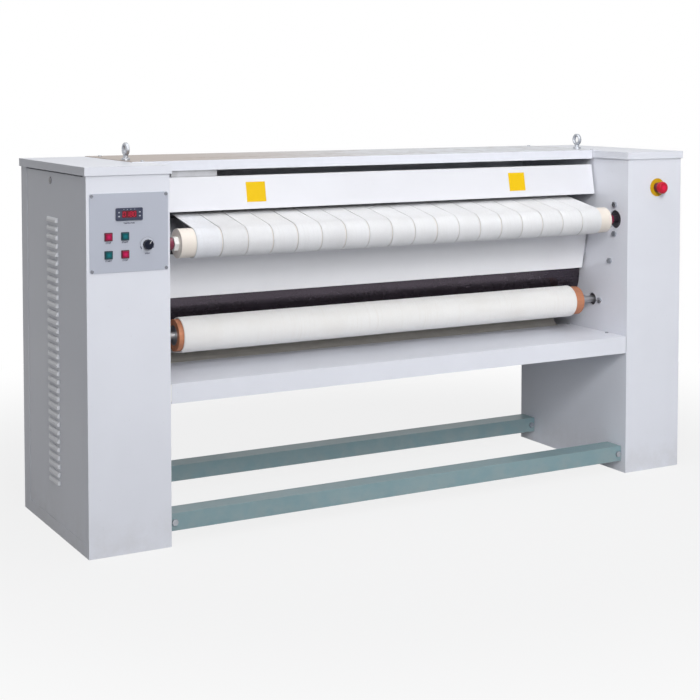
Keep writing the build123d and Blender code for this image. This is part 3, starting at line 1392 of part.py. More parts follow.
def bar_y(size, y, place):
    """Rectangular bar along Y, size given as (width, height)."""
    x, z = place
    return block((x - size[0] / 2, x + size[0] / 2), y, (z - size[1] / 2, z + size[1] / 2))


def knob_place():
    return on_controls(KNOB_CENTRE)


def control_plate():
    plate = block((from_left(PANEL_X[0]), from_left(PANEL_X[1])), (PLATE_FACE, FRONT_Y), PANEL_Z)
    plate = fillet(plate.edges().filter_by(Axis.Y), 4)
    through = (PLATE_FACE - 1, FRONT_Y + 1)
    cuts = [rod_y(SCREW_SHANK + SEAT, through, place) for place in panel_screws()]
    cuts += [square(BUTTON_BODY + SEAT, through, place) for place in button_places().values()]
    cuts.append(bar_y((DISPLAY_BODY[0] + SEAT, DISPLAY_BODY[1] + SEAT), through, display_place()))
    cuts.append(rod_y(POT_BUSH + SEAT, through, knob_place()))
    return plate - cuts


def display_case():
    face = PLATE_FACE - DISPLAY_PROUD
    bezel = bar_y(DISPLAY_BEZEL, (face, PLATE_FACE), display_place())
    bezel = fillet(bezel.edges().filter_by(Axis.Y), 3)
    body = bar_y(DISPLAY_BODY[:2], (PLATE_FACE, PLATE_FACE + DISPLAY_BODY[2]), display_place())
    return bezel + body - bar_y(DISPLAY_WINDOW, (face - 1, face + 2), display_place())


def display_window():
    face = PLATE_FACE - DISPLAY_PROUD
    return bar_y(DISPLAY_WINDOW, (face + 0.4, face + 2), display_place())


def button_housing(place):
    """Square bezel, body through the plate and a barrel that guides the button's stem."""
    front = PLATE_FACE - BUTTON_FLANGE_PROUD
    floor = FRONT_Y + BUTTON_TRAVEL + 2.5
    flange = fillet(square(BUTTON_FLANGE, (front, PLATE_FACE), place).edges().filter_by(Axis.Y), 2)
    body = square(BUTTON_BODY, (PLATE_FACE, floor + 2), place)
    pocket = square(BUTTON_POCKET, (front - 1, floor), place)
    barrel = rod_y(BUTTON_BODY / 2 - 1, (floor, FRONT_Y + BUTTON_DEPTH), place)
    bore = rod_y(BUTTON_STEM + 2 * FIT, (floor - 1, FRONT_Y + BUTTON_DEPTH + 1), place)
    return flange + body + barrel - pocket - bore


def button(place):
    """Square cap with a round stem."""
    front = PLATE_FACE - BUTTON_PROUD
    cap = square(BUTTON_CAP, (front, FRONT_Y), place)
    cap = fillet(cap.edges().group_by(Axis.Y)[0], 1.2)
    return cap + rod_y(BUTTON_STEM, (FRONT_Y, FRONT_Y + BUTTON_DEPTH - BUTTON_TRAVEL - 4), place)


def dial_ring():
    ring = rod_y(DIAL_RADIUS, (PLATE_FACE - DIAL_THICK, PLATE_FACE), knob_place())
    return ring - rod_y(POT_BUSH + SEAT, (PLATE_FACE - 2 * DIAL_THICK, PLATE_FACE + 1), knob_place())


def speed_knob():
    """Fluted knob with a pointer line and its shaft."""
    x, z = knob_place()
    back = PLATE_FACE - DIAL_THICK - KNOB_GAP
    front = back - KNOB_LENGTH
    body = rod_y(KNOB_RADIUS, (front, back), (x, z))
    body = chamfer(body.edges().filter_by(GeomType.CIRCLE).group_by(Axis.Y)[0], 2)
    groove = Pos(0, 0, KNOB_RADIUS + 0.9) * Rot(90, 0, 0) * Cylinder(1.6, KNOB_LENGTH + 2)
    turn = Pos(x, (front + back) / 2, z)
    flutes = [turn * Rot(0, i * 20, 0) * groove for i in range(18)]
    line = Pos(0, 0, KNOB_RADIUS / 2) * Box(1.6, 1.2, KNOB_RADIUS)
    mark = Pos(x, front, z) * Rot(0, KNOB_ANGLE, 0) * line
    shaft = rod_y(POT_SHAFT, (back, FRONT_Y + POT_DEPTH - 4), (x, z))
    return body - flutes - mark + shaft


def potentiometer():
    body = rod_y(POT_RADIUS, (FRONT_Y, FRONT_Y + POT_DEPTH), knob_place())
    bush = rod_y(POT_BUSH, (PLATE_FACE - DIAL_THICK, FRONT_Y), knob_place())
    bore = rod_y(POT_SHAFT + FIT, (PLATE_FACE - 2 * DIAL_THICK, FRONT_Y + POT_DEPTH - 3), knob_place())
    return body + bush - bore


def estop_place():
    return (BODY_WIDTH / 2 - ESTOP_INSET, BODY_HEIGHT - ESTOP_DROP)


def estop_parts():
    """Emergency stop: yellow disc, collar with barrel, contact block, plunger and head."""
    place = estop_place()
    disc_face = FRONT_Y - ESTOP_DISC_THICK
    collar_face = disc_face - ESTOP_COLLAR_LENGTH
    through = (FRONT_Y - ESTOP_PROUD - 1, FRONT_Y + 60)
    barrel = ESTOP_PLUNGER + 2.5
    disc = rod_y(ESTOP_DISC, (disc_face, FRONT_Y), place) - rod_y(barrel, through, place)
    collar = rod_y(ESTOP_COLLAR, (collar_face, disc_face), place)
    collar = chamfer(collar.edges().group_by(Axis.Y)[0], 1.5)
    collar = collar + rod_y(barrel, (disc_face, FRONT_Y + 14), place)
    collar = collar - rod_y(ESTOP_PLUNGER + FIT, through, place)
    contact = bar_y(ESTOP_BLOCK[::2], (FRONT_Y + 14, FRONT_Y + 14 + ESTOP_BLOCK[1]), place)
    contact = contact - rod_y(ESTOP_PLUNGER + 1, (FRONT_Y, FRONT_Y + 14 + ESTOP_TRAVEL + 2), place)
    head_back = FRONT_Y - ESTOP_PROUD + ESTOP_HEAD_THICK
    spigot_end = head_back - ESTOP_HEAD_THICK / 2
    plunger = rod_y(ESTOP_PLUNGER, (head_back, FRONT_Y + 14), place)
    plunger = plunger + rod_y(ESTOP_SPIGOT, (spigot_end, head_back), place)
    head = rod_y(ESTOP_HEAD, (FRONT_Y - ESTOP_PROUD, head_back), place)
    head = fillet(head.edges().group_by(Axis.Y)[0], 7)
    head = fillet(head.edges().group_by(Axis.Y)[-1], 2)
    head = head - rod_y(ESTOP_SPIGOT + FIT, (spigot_end - SEAT, head_back + 1), place)
    return disc, collar, contact, plunger, head


def gland_place():
    return (from_left(GLAND_DEPTH_X), GLAND_HEIGHT)


def cable_gland():
    """Gland for the supply cable: hexagon body, clamping nut and a lock nut inside."""
    x, z = gland_place()
    hexagon = RegularPolygon(GLAND_RADIUS, 6, major_radius=False)
    body_plane = Plane(origin=(x, BACK_Y, z), x_dir=(1, 0, 0), z_dir=(0, 1, 0))
    body = extrude(body_plane * hexagon, 9)
    nut = rod_y(GLAND_RADIUS - 2, (BACK_Y + 9, BACK_Y + GLAND_PROUD), (x, z))
    nut = fillet(nut.edges().group_by(Axis.Y)[-1], 4)
    thread = rod_y(GLAND_BORE + 3.5, (BACK_Y - SHEET - 9, BACK_Y), (x, z))
    lock_plane = Plane(origin=(x, BACK_Y - SHEET, z), x_dir=(1, 0, 0), z_dir=(0, -1, 0))
    lock = extrude(lock_plane * hexagon, 6)
    return body + nut + thread + lock - rod_y(GLAND_BORE, (BACK_Y - 20, BACK_Y + GLAND_PROUD + 1), (x, z))


# ---------------------------------------------------------------- the nodes
SIDES = (LEFT, RIGHT)


def build_cabinets():
    for side, name in SIDE_NAMES.items():
        node(f"{name}_wall_plate", wall_plate(side))
        node(f"{name}_side_panel", side_panel(side))
        node(f"{name}_side_lock", side_lock(side))
    node("front_covers", *[front_cover(side) for side in SIDES])
    node("side_frames", *[side_frame(side) for side in SIDES])
    node("base_trays", *[base_tray(side) for side in SIDES])
    node("cabinet_lids", *[lid(side) for side in SIDES])
    node("rear_covers", *[rear_cover(side) for side in SIDES], centre_rear_cover())
    node("top_cover", top_cover())
    node("lifting_eyes", *[lifting_eye(side) for side in SIDES])
    node("cable_gland", cable_gland())


def build_front():
    node("receiving_shelf", receiving_shelf())
    node("apron_panel", apron_panel())
    node("guide_plate", guide_plate())
    node("bottom_cover", bottom_cover())
    node("tie_channels", *[tie_channel(front) for front in TIE_DEPTHS])


def build_brackets_and_fasteners():
    brackets = [shelf_bracket(side) for side in SIDES] + [apron_bracket(side) for side in SIDES]
    brackets += [tie_lug(side, front) for side in SIDES for front in TIE_DEPTHS]
    brackets += [heater_bridge(side) for side in SIDES] + [motor_stand(), cover_stiffener()]
    node("mounting_brackets", *brackets)
    through = WALL_PLATE + BEARING_PLATE
    bolts = [wall_bolt(side, place, through) for side in SIDES for place in bearing_bolt_places()]
    bolts += [wall_bolt(side, wall_bolt_place(), WALL_PLATE) for side in SIDES]
    bolts += [tie_bolt(place, front) for place in tie_bolts() for front in TIE_DEPTHS]
    node("hex_bolts", *bolts)
    screws = [pan_screw_y(place, BACK_Y, 1) for place in rear_screw_places()]
    screws += [shelf_screw(place) for place in shelf_screw_places()]
    screws += [panel_screw(place) for place in panel_screws()]
    screws += [cover_screw(place) for place in cover_screw_places()]
    node("machine_screws", *screws)


def build_rollers():
    idle = {side: bearing_reach(SHAFT_PAST_BEARING) for side in SIDES}
    driven = dict(idle)
    driven[LEFT] = FEED_SPROCKET_OFFSET + SPROCKET_WIDTH + SHAFT_PAST_BEARING
    feed = (FEED, FEED_RADIUS, FEED_TUBE_WALL, between_walls(FEED_END_GAP), FEED_SHAFT)
    rear_span = between_walls(REAR_FEED_END_GAP)
    rear_feed = (REAR_FEED, REAR_FEED_RADIUS, FEED_TUBE_WALL, rear_span)
    lower = (LOWER, LOWER_RADIUS, LOWER_TUBE_WALL, between_walls(*LOWER_END_GAPS), LOWER_SHAFT)
    guide_span = between_walls(GUIDE_ROLLER_END_GAP)
    guide = (GUIDE_ROLLER_RADIUS, FEED_TUBE_WALL, guide_span, GUIDE_ROLLER_SHAFT)
    node("feed_roller", roller(*feed, driven))
    node("feed_roller_hubs", *[feed_roller_hub(side) for side in SIDES])
    node("feed_roller_collars", *[feed_roller_collar(side) for side in SIDES])
    node("feed_belts", *[feed_belt(i) for i in range(BELT_COUNT)])
    node("rear_feed_roller", roller(*rear_feed, GUIDE_ROLLER_SHAFT, idle))
    node("upper_guide_roller", roller(GUIDES[0], *guide, idle))
    node("lower_guide_roller", roller(GUIDES[1], *guide, idle))
    node("lower_roller", roller(*lower, idle))
    node("ironing_blanket", blanket())
    node("drum", drum_shell())
    node("drum_journals", *[journal(side) for side in SIDES])
    heaters = [heater_rod(centre) for centre in heater_places()]
    heaters += [heater_spider(i) for i in range(HEATER_SPIDERS)]
    node("heater_bank", *heaters, heater_tube())
    housings = [flange_bearing(side, *bearing) for side in SIDES for bearing in flange_bearings()]
    node("flange_bearings", *housings, *[drum_bearing(side) for side in SIDES])


def build_drive():
    offset = DRIVE_SPROCKET_OFFSET
    shaft_x = from_wall(LEFT, offset - SPROCKET_HUB, GEARBOX_OFFSET + GEARBOX[0] - SHAFT_SHORT)
    wheel = sprocket(MOTOR, DRIVE_PITCH, DRIVE_TEETH, offset, MOTOR_SHAFT, 20.0)
    node("motor_sprocket", wheel, rod_x(MOTOR_SHAFT, shaft_x, MOTOR))
    drum_hub = JOURNAL_RADIUS + 12
    node(
        "drum_sprockets",
        sprocket(DRUM, DRIVE_PITCH, DRUM_TEETH, offset, JOURNAL_RADIUS, drum_hub),
        sprocket(DRUM, FEED_PITCH, DRUM_FEED_TEETH, FEED_SPROCKET_OFFSET, JOURNAL_RADIUS, drum_hub),
    )
    node(
        "feed_sprocket",
        sprocket(FEED, FEED_PITCH, FEED_TEETH, FEED_SPROCKET_OFFSET, FEED_SHAFT, 18.0),
    )
    drive_turns = [(DRUM, DRUM_TEETH), (MOTOR, DRIVE_TEETH)]
    feed_turns = [(DRUM, DRUM_FEED_TEETH), (FEED, FEED_TEETH)]
    chains = [
        chain(DRIVE_PITCH, drive_turns, offset),
        chain(FEED_PITCH, feed_turns, FEED_SPROCKET_OFFSET),
    ]
    node("roller_chains", *chains)
    node("gearmotor", gearbox(), drive_motor())
    node("electrical_box", electrical_box(), electrical_box_lid())


def build_guard():
    node("finger_guard", finger_guard())
    node("yellow_plates", *[yellow_plate(side) for side in SIDES])
    node("guard_switch", guard_switch())


def build_controls():
    node("control_plate", control_plate())
    node("temperature_display", display_case())
    node("display_window", display_window())
    node("button_housings", *[button_housing(place) for place in button_places().values()])
    for name, place in button_places().items():
        node(name, button(place))
    node("dial_ring", dial_ring())
    node("speed_knob", speed_knob())
    node("potentiometer", potentiometer())
    disc, collar, contact, plunger, head = estop_parts()
    node("estop_disc", disc)
    node("estop_collar", collar)
    node("contactors", *contactors(), contact)
    node("estop_plunger", plunger)
    node("estop_head", head)


build_cabinets()
build_front()
build_brackets_and_fasteners()
build_rollers()
build_drive()
build_guard()
build_controls()

os.makedirs("parts", exist_ok=True)
for name, found in NODES.items():
    shape = found[0] if len(found) == 1 else Compound(found)
    export_step(shape, f"parts/{name}.step")
print(len(NODES), "nodes")
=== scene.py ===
"""Flatwork ironer: finishes, feed belts, ironing blanket and printed details round the frame.

Every length is in metres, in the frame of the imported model: +X to the operator's right, +Y to
the rear, +Z up, the floor at zero.
"""

from __future__ import annotations

import json
import logging
import math
from dataclasses import dataclass
from enum import Enum
from functools import cached_property
from typing import ClassVar

import bpy
import numpy as np
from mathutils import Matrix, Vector


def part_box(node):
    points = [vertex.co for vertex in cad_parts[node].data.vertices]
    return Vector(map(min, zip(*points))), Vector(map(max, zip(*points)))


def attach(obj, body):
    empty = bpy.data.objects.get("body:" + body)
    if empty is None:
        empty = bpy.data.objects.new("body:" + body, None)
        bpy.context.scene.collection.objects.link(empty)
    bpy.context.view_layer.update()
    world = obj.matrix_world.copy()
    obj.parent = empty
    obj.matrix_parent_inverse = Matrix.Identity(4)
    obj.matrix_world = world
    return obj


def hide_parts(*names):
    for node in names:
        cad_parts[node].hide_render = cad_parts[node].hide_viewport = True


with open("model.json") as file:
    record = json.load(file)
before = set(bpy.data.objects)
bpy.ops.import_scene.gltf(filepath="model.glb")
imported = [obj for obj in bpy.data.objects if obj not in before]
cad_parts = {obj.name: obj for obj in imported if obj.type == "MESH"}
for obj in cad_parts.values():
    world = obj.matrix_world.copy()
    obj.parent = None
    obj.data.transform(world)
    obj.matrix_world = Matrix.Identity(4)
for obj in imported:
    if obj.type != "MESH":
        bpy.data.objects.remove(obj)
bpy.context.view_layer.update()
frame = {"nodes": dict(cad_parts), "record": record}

LOG = logging.getLogger("ironer")
MM = 0.001
QUARTER = math.pi / 2
FULL_TURN = 2 * math.pi
FIXED_BODY = "machine_body"
CLOTH_MAP = "cloth"
SUNK = 0.02 * MM  # how far raised details reach into the face that they stand on
ORIGIN = (0.0, 0.0, 0.0)

Pair = tuple[float, float]
Triple = tuple[float, float, float]
Colour = tuple[float, float, float]
Shape = tuple[np.ndarray, list[list[int]]]
Socket = bpy.types.NodeSocket


# ---------------------------------------------------------------- places on the frame
def corners_of(name: str) -> tuple[np.ndarray, np.ndarray]:
    """Lowest and highest corner of a node of the frame.

    Args:
        name: the node's name.

    Returns:
        Two arrays of three coordinates.
    """
    low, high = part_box(name)
    return np.array(low), np.array(high)


def middle_of(name: str) -> np.ndarray:
    """Middle of a node's box, as (x, y, z)."""
    low, high = corners_of(name)
    return (low + high) / 2


def front_of(name: str) -> np.ndarray:
    """Middle of the front of a node's box.

    Args:
        name: the node's name.

    Returns:
        Its (x, y, z).
    """
    place = middle_of(name)
    place[1] = corners_of(name)[0][1]
    return place


def axis_of(name: str) -> Pair:
    """Axis of a roller that lies along X, as (y, z): the middle of the roller's box."""
    return tuple(middle_of(name)[1:].tolist())


def radius_of(name: str) -> float:
    """Outer radius of a roller that lies along X: half the height of its box."""
    low, high = corners_of(name)
    return float(high[2] - low[2]) / 2


# ---------------------------------------------------------------- meshes from arrays
def outward(vertices: np.ndarray, faces: np.ndarray) -> np.ndarray:
    """Turn the faces of a closed surface so that they look outwards.

    The volume under each triangle towards the origin is a sixth of the triple product of its
    corners. Their sum is negative where the surface is inside out.

    Args:
        vertices: points, one a row.
        faces: triangles or quads as indices.

    Returns:
        The faces, reversed if the sum is negative.
    """
    a, b, c = (vertices[faces[:, k]] for k in (0, 1, 2))
    volume = np.einsum("ij,ij->", a, np.cross(b, c))
    if faces.shape[1] == 4:
        d = vertices[faces[:, 3]]
        volume += np.einsum("ij,ij->", a, np.cross(c, d))
    return faces[:, ::-1] if volume < 0 else faces


def new_object(name: str, shape: Shape, material: bpy.types.Material) -> bpy.types.Object:
    """Make a mesh object with one material and smooth faces, and put it into the scene.

    Args:
        name: the piece's name.
        shape: its vertices and faces.
        material: its finish.

    Returns:
        The new object.
    """
    vertices, faces = shape
    mesh = bpy.data.meshes.new(name)
    mesh.from_pydata(vertices.tolist(), [], faces)
    mesh.materials.append(material)
    mesh.polygons.foreach_set("use_smooth", np.ones(len(mesh.polygons), dtype=bool))
    mesh.update()
    piece = bpy.data.objects.new(name, mesh)
    bpy.context.scene.collection.objects.link(piece)
    return piece


def capped(rings: np.ndarray) -> Shape:
    """Closed surface through a row of closed rings, each end filled by a fan.

    Args:
        rings: array of rings, points a ring, three coordinates.

    Returns:
        Vertices and faces, looking outwards.
    """
    count, size = rings.shape[:2]
    middles = rings[[0, -1]].mean(axis=1)
    vertices = np.vstack([rings.reshape(-1, 3), middles])
    i, j = np.meshgrid(np.arange(count - 1), np.arange(size), indexing="ij")
    here, there = i * size, (i + 1) * size
    after = (j + 1) % size
    quads = np.stack([here + j, here + after, there + after, there + j], -1).reshape(-1, 4)
    step = np.arange(size)
    following = (step + 1) % size
    hub, last_ring = count * size, (count - 1) * size
    first = np.stack([np.full(size, hub), following, step], -1)
    last = np.stack([np.full(size, hub + 1), last_ring + step, last_ring + following], -1)
    fans = np.vstack([first, last])
    probe = np.vstack([quads[:, [0, 1, 2]], quads[:, [0, 2, 3]], fans])
    if not np.array_equal(outward(vertices, probe), probe):
        quads, fans = quads[:, ::-1], fans[:, ::-1]
    return vertices, quads.tolist() + fans.tolist()


def joined(parts: list[Shape]) -> Shape:
    """Several closed surfaces as the vertices and faces of one mesh.

    Args:
        parts: the surfaces.

    Returns:
        All their vertices, and their faces counted on from one surface to the next.
    """
    faces: list[list[int]] = []
    start = 0
    for points, found in parts:
        faces += [[index + start for index in face] for face in found]
        start += len(points)
    return np.vstack([points for points, _ in parts]), faces


def rounded_outline(width: float, height: float, radius: float, points: int = 6) -> np.ndarray:
    """Rectangle with round corners, seen from the front.

    Each corner is a quarter circle about a point one radius in from both sides.

    Args:
        width: size along X.
        height: size along Z.
        radius: radius of the corners.
        points: points on each corner.

    Returns:
        Array of (x, z) about the middle, counter-clockwise.
    """
    turn = np.linspace(0, QUARTER, points)
    rows = []
    for k, (sx, sz) in enumerate(((1, 1), (-1, 1), (-1, -1), (1, -1))):
        angle = turn + k * QUARTER
        middle = np.array([sx * (width / 2 - radius), sz * (height / 2 - radius)])
        rows.append(middle + radius * np.stack([np.cos(angle), np.sin(angle)], -1))
    return np.vstack(rows)


def raised(outline: np.ndarray, centre: np.ndarray, proud: float, soft: float, rings: int = 5) -> Shape:
    """Pad that stands on a face looking towards -Y, with softened front edges.

    Ring after ring the outline keeps its place along X and Z up to the soft edge, then shrinks
    as a quarter circle does, and its depth runs from the face to the front.

    Args:
        outline: (x, z) points about the middle.
        centre: the middle on the face, as (x, y, z).
        proud: how far it stands in front of the face.
        soft: size of the softened edge, at most the outline's narrowest half.
        rings: rings on the softened edge.

    Returns:
        Vertices and faces.
    """
    reach = np.abs(outline).max(axis=0)
    turn = np.linspace(0, QUARTER, rings)
    inset = np.concatenate([[0.0], soft * (1 - np.cos(turn))])
    depth = np.concatenate([[SUNK], -(proud - soft) - soft * np.sin(turn)])
    shrink = (reach[None, :] - inset[:, None]) / reach[None, :]
    flat = outline[None, :, :] * shrink[:, None, :]
    grid = np.empty((len(inset), len(outline), 3))
    grid[:, :, 0] = centre[0] + flat[:, :, 0]
    grid[:, :, 1] = centre[1] + depth[:, None]
    grid[:, :, 2] = centre[2] + flat[:, :, 1]
    return capped(grid)


def arc_band(
    centre: np.ndarray, radii: Pair, angles: Pair, proud: float, step: float = math.radians(4)
) -> Shape:
    """Thin raised band round a middle on a face looking towards -Y.

    A rectangle between the two radii is carried round the middle: its distance from the middle
    goes along X with the sine of the angle and along Z with the cosine.

    Args:
        centre: the middle on the face, as (x, y, z).
        radii: inner and outer radius.
        angles: first and last angle, clockwise from straight up.
        proud: its thickness in front of the face.
        step: largest angle between two sections.

    Returns:
        Vertices and faces.
    """
    count = max(3, int(abs(angles[1] - angles[0]) / step) + 2)
    turn = np.linspace(*angles, count)
    inner, outer = radii
    section = np.array([[inner, SUNK], [outer, SUNK], [outer, -proud], [inner, -proud]])
    grid = np.empty((count, 4, 3))
    grid[:, :, 0] = centre[0] + np.sin(turn)[:, None] * section[None, :, 0]
    grid[:, :, 1] = centre[1] + section[None, :, 1]
    grid[:, :, 2] = centre[2] + np.cos(turn)[:, None] * section[None, :, 0]
    return capped(grid)


# ---------------------------------------------------------------- shader building
@dataclass(frozen=True)
class Noise:
    """Value noise and the span of it that shows.

    Attributes:
        scale: cycles a metre.
        detail: octaves.
        rough: share of each octave in the next.
        span: the values that are spread from nothing to all.
    """

    scale: float
    detail: float = 2.0
    rough: float = 0.5
    span: Pair = (0.0, 1.0)


class MixKind(Enum):
    """What a Mix node mixes: its data type, its two inputs and its output."""

    COLOUR = ("RGBA", 6, 7, 2)
    NUMBER = ("FLOAT", 2, 3, 0)


class Graph:
    """Builds one node tree from left to right."""

    COLUMN = 180
    ROW = 160
    ROWS = 3

    def __init__(self, tree: bpy.types.NodeTree) -> None:
        """Keep the tree that is being built."""
        self.tree = tree
        self.count = 0

    def join(self, value: object, socket: Socket) -> None:
        """Feed one input.

        Args:
            value: a socket to link or a value; a colour of three parts is made opaque.
            socket: the input.
        """
        if isinstance(value, bpy.types.NodeSocket):
            self.tree.links.new(value, socket)
        elif socket.type == "RGBA" and len(value) == 3:
            socket.default_value = (*value, 1.0)
        else:
            socket.default_value = value

    def add(self, kind: str, *inputs: object, **settings: object) -> bpy.types.Node:
        """Add a node.

        Args:
            kind: its type, without the leading word ShaderNode.
            inputs: values or links for its first inputs, in their order.
            settings: properties of the node.

        Returns:
            The node.
        """
        made = self.tree.nodes.new(kind if kind.startswith("NodeGroup") else "ShaderNode" + kind)
        made.location = (self.count * self.COLUMN, -(self.count % self.ROWS) * self.ROW)
        self.count += 1
        for name, value in settings.items():
            setattr(made, name, value)
        for value, socket in zip(inputs, made.inputs):
            self.join(value, socket)
        return made

    def feed(self, node: bpy.types.Node, **values: object) -> bpy.types.Node:
        """Give some of a node's inputs a value or a link.

        Args:
            node: the node.
            values: what to give, by the input's name with underscores for its spaces.

        Returns:
            The same node.
        """
        for name, value in values.items():
            self.join(value, node.inputs[name.replace("_", " ")])
        return node

    def calc(self, operation: str, *terms: object) -> Socket:
        """One step of arithmetic on numbers or sockets."""
        return self.add("Math", *terms, operation=operation).outputs[0]

    def spread(self, value: Socket, span: Pair, to: Pair = (0.0, 1.0)) -> Socket:
        """Map a span of values smoothly on to another, without leaving it."""
        return self.add("MapRange", value, *span, *to, interpolation_type="SMOOTHSTEP").outputs[0]

    def noise(self, vector: Socket, pattern: Noise, scale: Socket | None = None) -> Socket:
        """Value noise from 0 to 1.

        Args:
            vector: the coordinates.
            pattern: its size and detail.
            scale: what gives the size instead, if anything does.

        Returns:
            The noise.
        """
        node = self.add("TexNoise")
        size = pattern.scale if scale is None else scale
        self.feed(node, Vector=vector, Scale=size, Detail=pattern.detail, Roughness=pattern.rough)
        return node.outputs["Fac"]

    def patches(self, vector: Socket, pattern: Noise, to: Pair = (0.0, 1.0)) -> Socket:
        """Value noise with the span that shows spread smoothly on to another."""
        return self.spread(self.noise(vector, pattern), pattern.span, to)

    def turned(self, vector: Socket, **values: Triple) -> Socket:
        """Coordinates turned or scaled by a Mapping node."""
        return self.feed(self.add("Mapping"), Vector=vector, **values).outputs[0]

    def mix(self, kind: MixKind, amount: object, under: object, over: object) -> Socket:
        """Mix two colours or two numbers.

        Args:
            kind: what they are.
            amount: share of the second, a number or a mask.
            under: the first.
            over: the second.

        Returns:
            The mixed colour or number.
        """
        data_type, first, second, result = kind.value
        node = self.add("Mix", amount, data_type=data_type)
        self.join(under, node.inputs[first])
        self.join(over, node.inputs[second])
        return node.outputs[result]

    def tint(self, amount: object, under: object, over: object) -> Socket:
        """Colour that runs from one to another with a mask."""
        return self.mix(MixKind.COLOUR, amount, under, over)

    def blend(self, socket: Socket, mask: Socket, value: float) -> None:
        """Mix a number into a shader's input, over what feeds it already.

        Args:
            socket: the shader's input.
            mask: where the number shows, from 0 to 1.
            value: the number. An input that holds it already stays as it is.
        """
        if socket.is_linked:
            under = socket.links[0].from_socket
        else:
            under = socket.default_value
            if under == value:
                return
        self.join(self.mix(MixKind.NUMBER, mask, under, value), socket)

    def bump(
        self, height: Socket, distance: float, strength: float = 1.0, under: Socket | None = None
    ) -> Socket:
        """Normal of a relief.

        Args:
            height: the relief, from 0 to 1.
            distance: how high 1 is.
            strength: how much of it shows.
            under: the normal that it lies on, if not the face's own.

        Returns:
            The normal.
        """
        node = self.feed(self.add("Bump"), Height=height, Distance=distance, Strength=strength)
        if under is not None:
            self.feed(node, Normal=under)
        return node.outputs[0]


@dataclass
class Effect:
    """Shader node group that more than one finish uses, built at its first use.

    Attributes:
        name: the group's name.
        inputs: names of its inputs, with a default number or None for a vector.
        outputs: names of its outputs, which are numbers.
    """

    name: ClassVar[str]
    inputs: ClassVar[dict[str, float | None]] = {"Vector": None}
    outputs: ClassVar[tuple[str, ...]]

    def work_out(self, graph: Graph, given: bpy.types.bpy_prop_collection) -> tuple[Socket, ...]:
        """Add the group's own nodes.

        Args:
            graph: the group's graph.
            given: the group's inputs.

        Returns:
            What its outputs give, in their order.
        """
        raise NotImplementedError

    @cached_property
    def tree(self) -> bpy.types.NodeTree:
        """The group itself.

        Returns:
            Its tree, with its sockets made and its nodes added.
        """
        tree = bpy.data.node_groups.new(self.name, "ShaderNodeTree")
        for label, default in self.inputs.items():
            kind = "NodeSocketVector" if default is None else "NodeSocketFloat"
            socket = tree.interface.new_socket(label, in_out="INPUT", socket_type=kind)
            if default is not None:
                socket.default_value = default
        for label in self.outputs:
            tree.interface.new_socket(label, in_out="OUTPUT", socket_type="NodeSocketFloat")
        graph = Graph(tree)
        results = self.work_out(graph, graph.add("NodeGroupInput").outputs)
        graph.add("NodeGroupOutput", *results)
        return tree

    def place(self, graph: Graph, **values: object) -> bpy.types.bpy_prop_collection:
        """Put the group into a material's tree, feed it and give its outputs."""
        return graph.feed(graph.add("Group", node_tree=self.tree), **values).outputs


@dataclass
class Coat(Effect):
    """Sprayed coat: broad drift of tone, fine orange peel and small specks.

    The drift and the peel are noise, and the peel's size is an input. A speck is the inside of
    a Voronoi cell whose random value is high.

    Attributes:
        drift: the drift of tone.
        peel: the peel.
        cells: cells a metre.
        speck: radius of a speck, as a share of its cell.
        rare: random value above which a cell has a speck.
    """

    name = "coat"
    inputs = {"Vector": None, "Peel": 320.0}
    outputs = ("Drift", "Peel", "Specks")
    drift: Noise = Noise(1.6, 4.0, 0.6)
    peel: Noise = Noise(320.0, 3.0, 0.55)
    cells: float = 140.0
    speck: float = 0.16
    rare: float = 0.965

    def work_out(self, graph: Graph, given: bpy.types.bpy_prop_collection) -> tuple[Socket, ...]:
        """Add noise and cells; arguments and result as in Effect."""
        cells = graph.feed(graph.add("TexVoronoi"), Vector=given["Vector"], Scale=self.cells).outputs
        inside = graph.calc("LESS_THAN", cells["Distance"], self.speck)
        chosen = graph.calc("GREATER_THAN", graph.add("SeparateColor", cells["Color"]).outputs[0], self.rare)
        return (
            graph.noise(given["Vector"], self.drift),
            graph.noise(given["Vector"], self.peel, given["Peel"]),
            graph.calc("MULTIPLY", inside, chosen),
        )


@dataclass
class Edges(Effect):
    """Mask of edges and corners, broken up by noise.

    It is one less the dot product of the face's normal with the normal averaged over a small
    radius, spread over its useful range.

    Attributes:
        bend: span of that number that shows.
        patch: the noise that breaks it up.
        kept: what the noise leaves of the mask where it is lowest.
        samples: samples of the averaged normal.
    """

    name = "edges"
    inputs = {"Vector": None, "Radius": 0.0015}
    outputs = ("Mask",)
    bend: Pair = (0.02, 0.28)
    patch: Noise = Noise(38.0, 5.0, 0.65, (0.38, 0.68))
    kept: float = 0.1
    samples: int = 4

    def work_out(self, graph: Graph, given: bpy.types.bpy_prop_collection) -> tuple[Socket, ...]:
        """Add the two normals and the noise; arguments and result as in Effect."""
        rounded = graph.add("Bevel", given["Radius"], samples=self.samples).outputs[0]
        flat = graph.add("NewGeometry").outputs["Normal"]
        dot = graph.add("VectorMath", rounded, flat, operation="DOT_PRODUCT").outputs["Value"]
        bend = graph.spread(graph.calc("SUBTRACT", 1.0, dot), self.bend)
        patch = graph.patches(given["Vector"], self.patch, (self.kept, 1.0))
        return (graph.calc("MULTIPLY", bend, patch),)


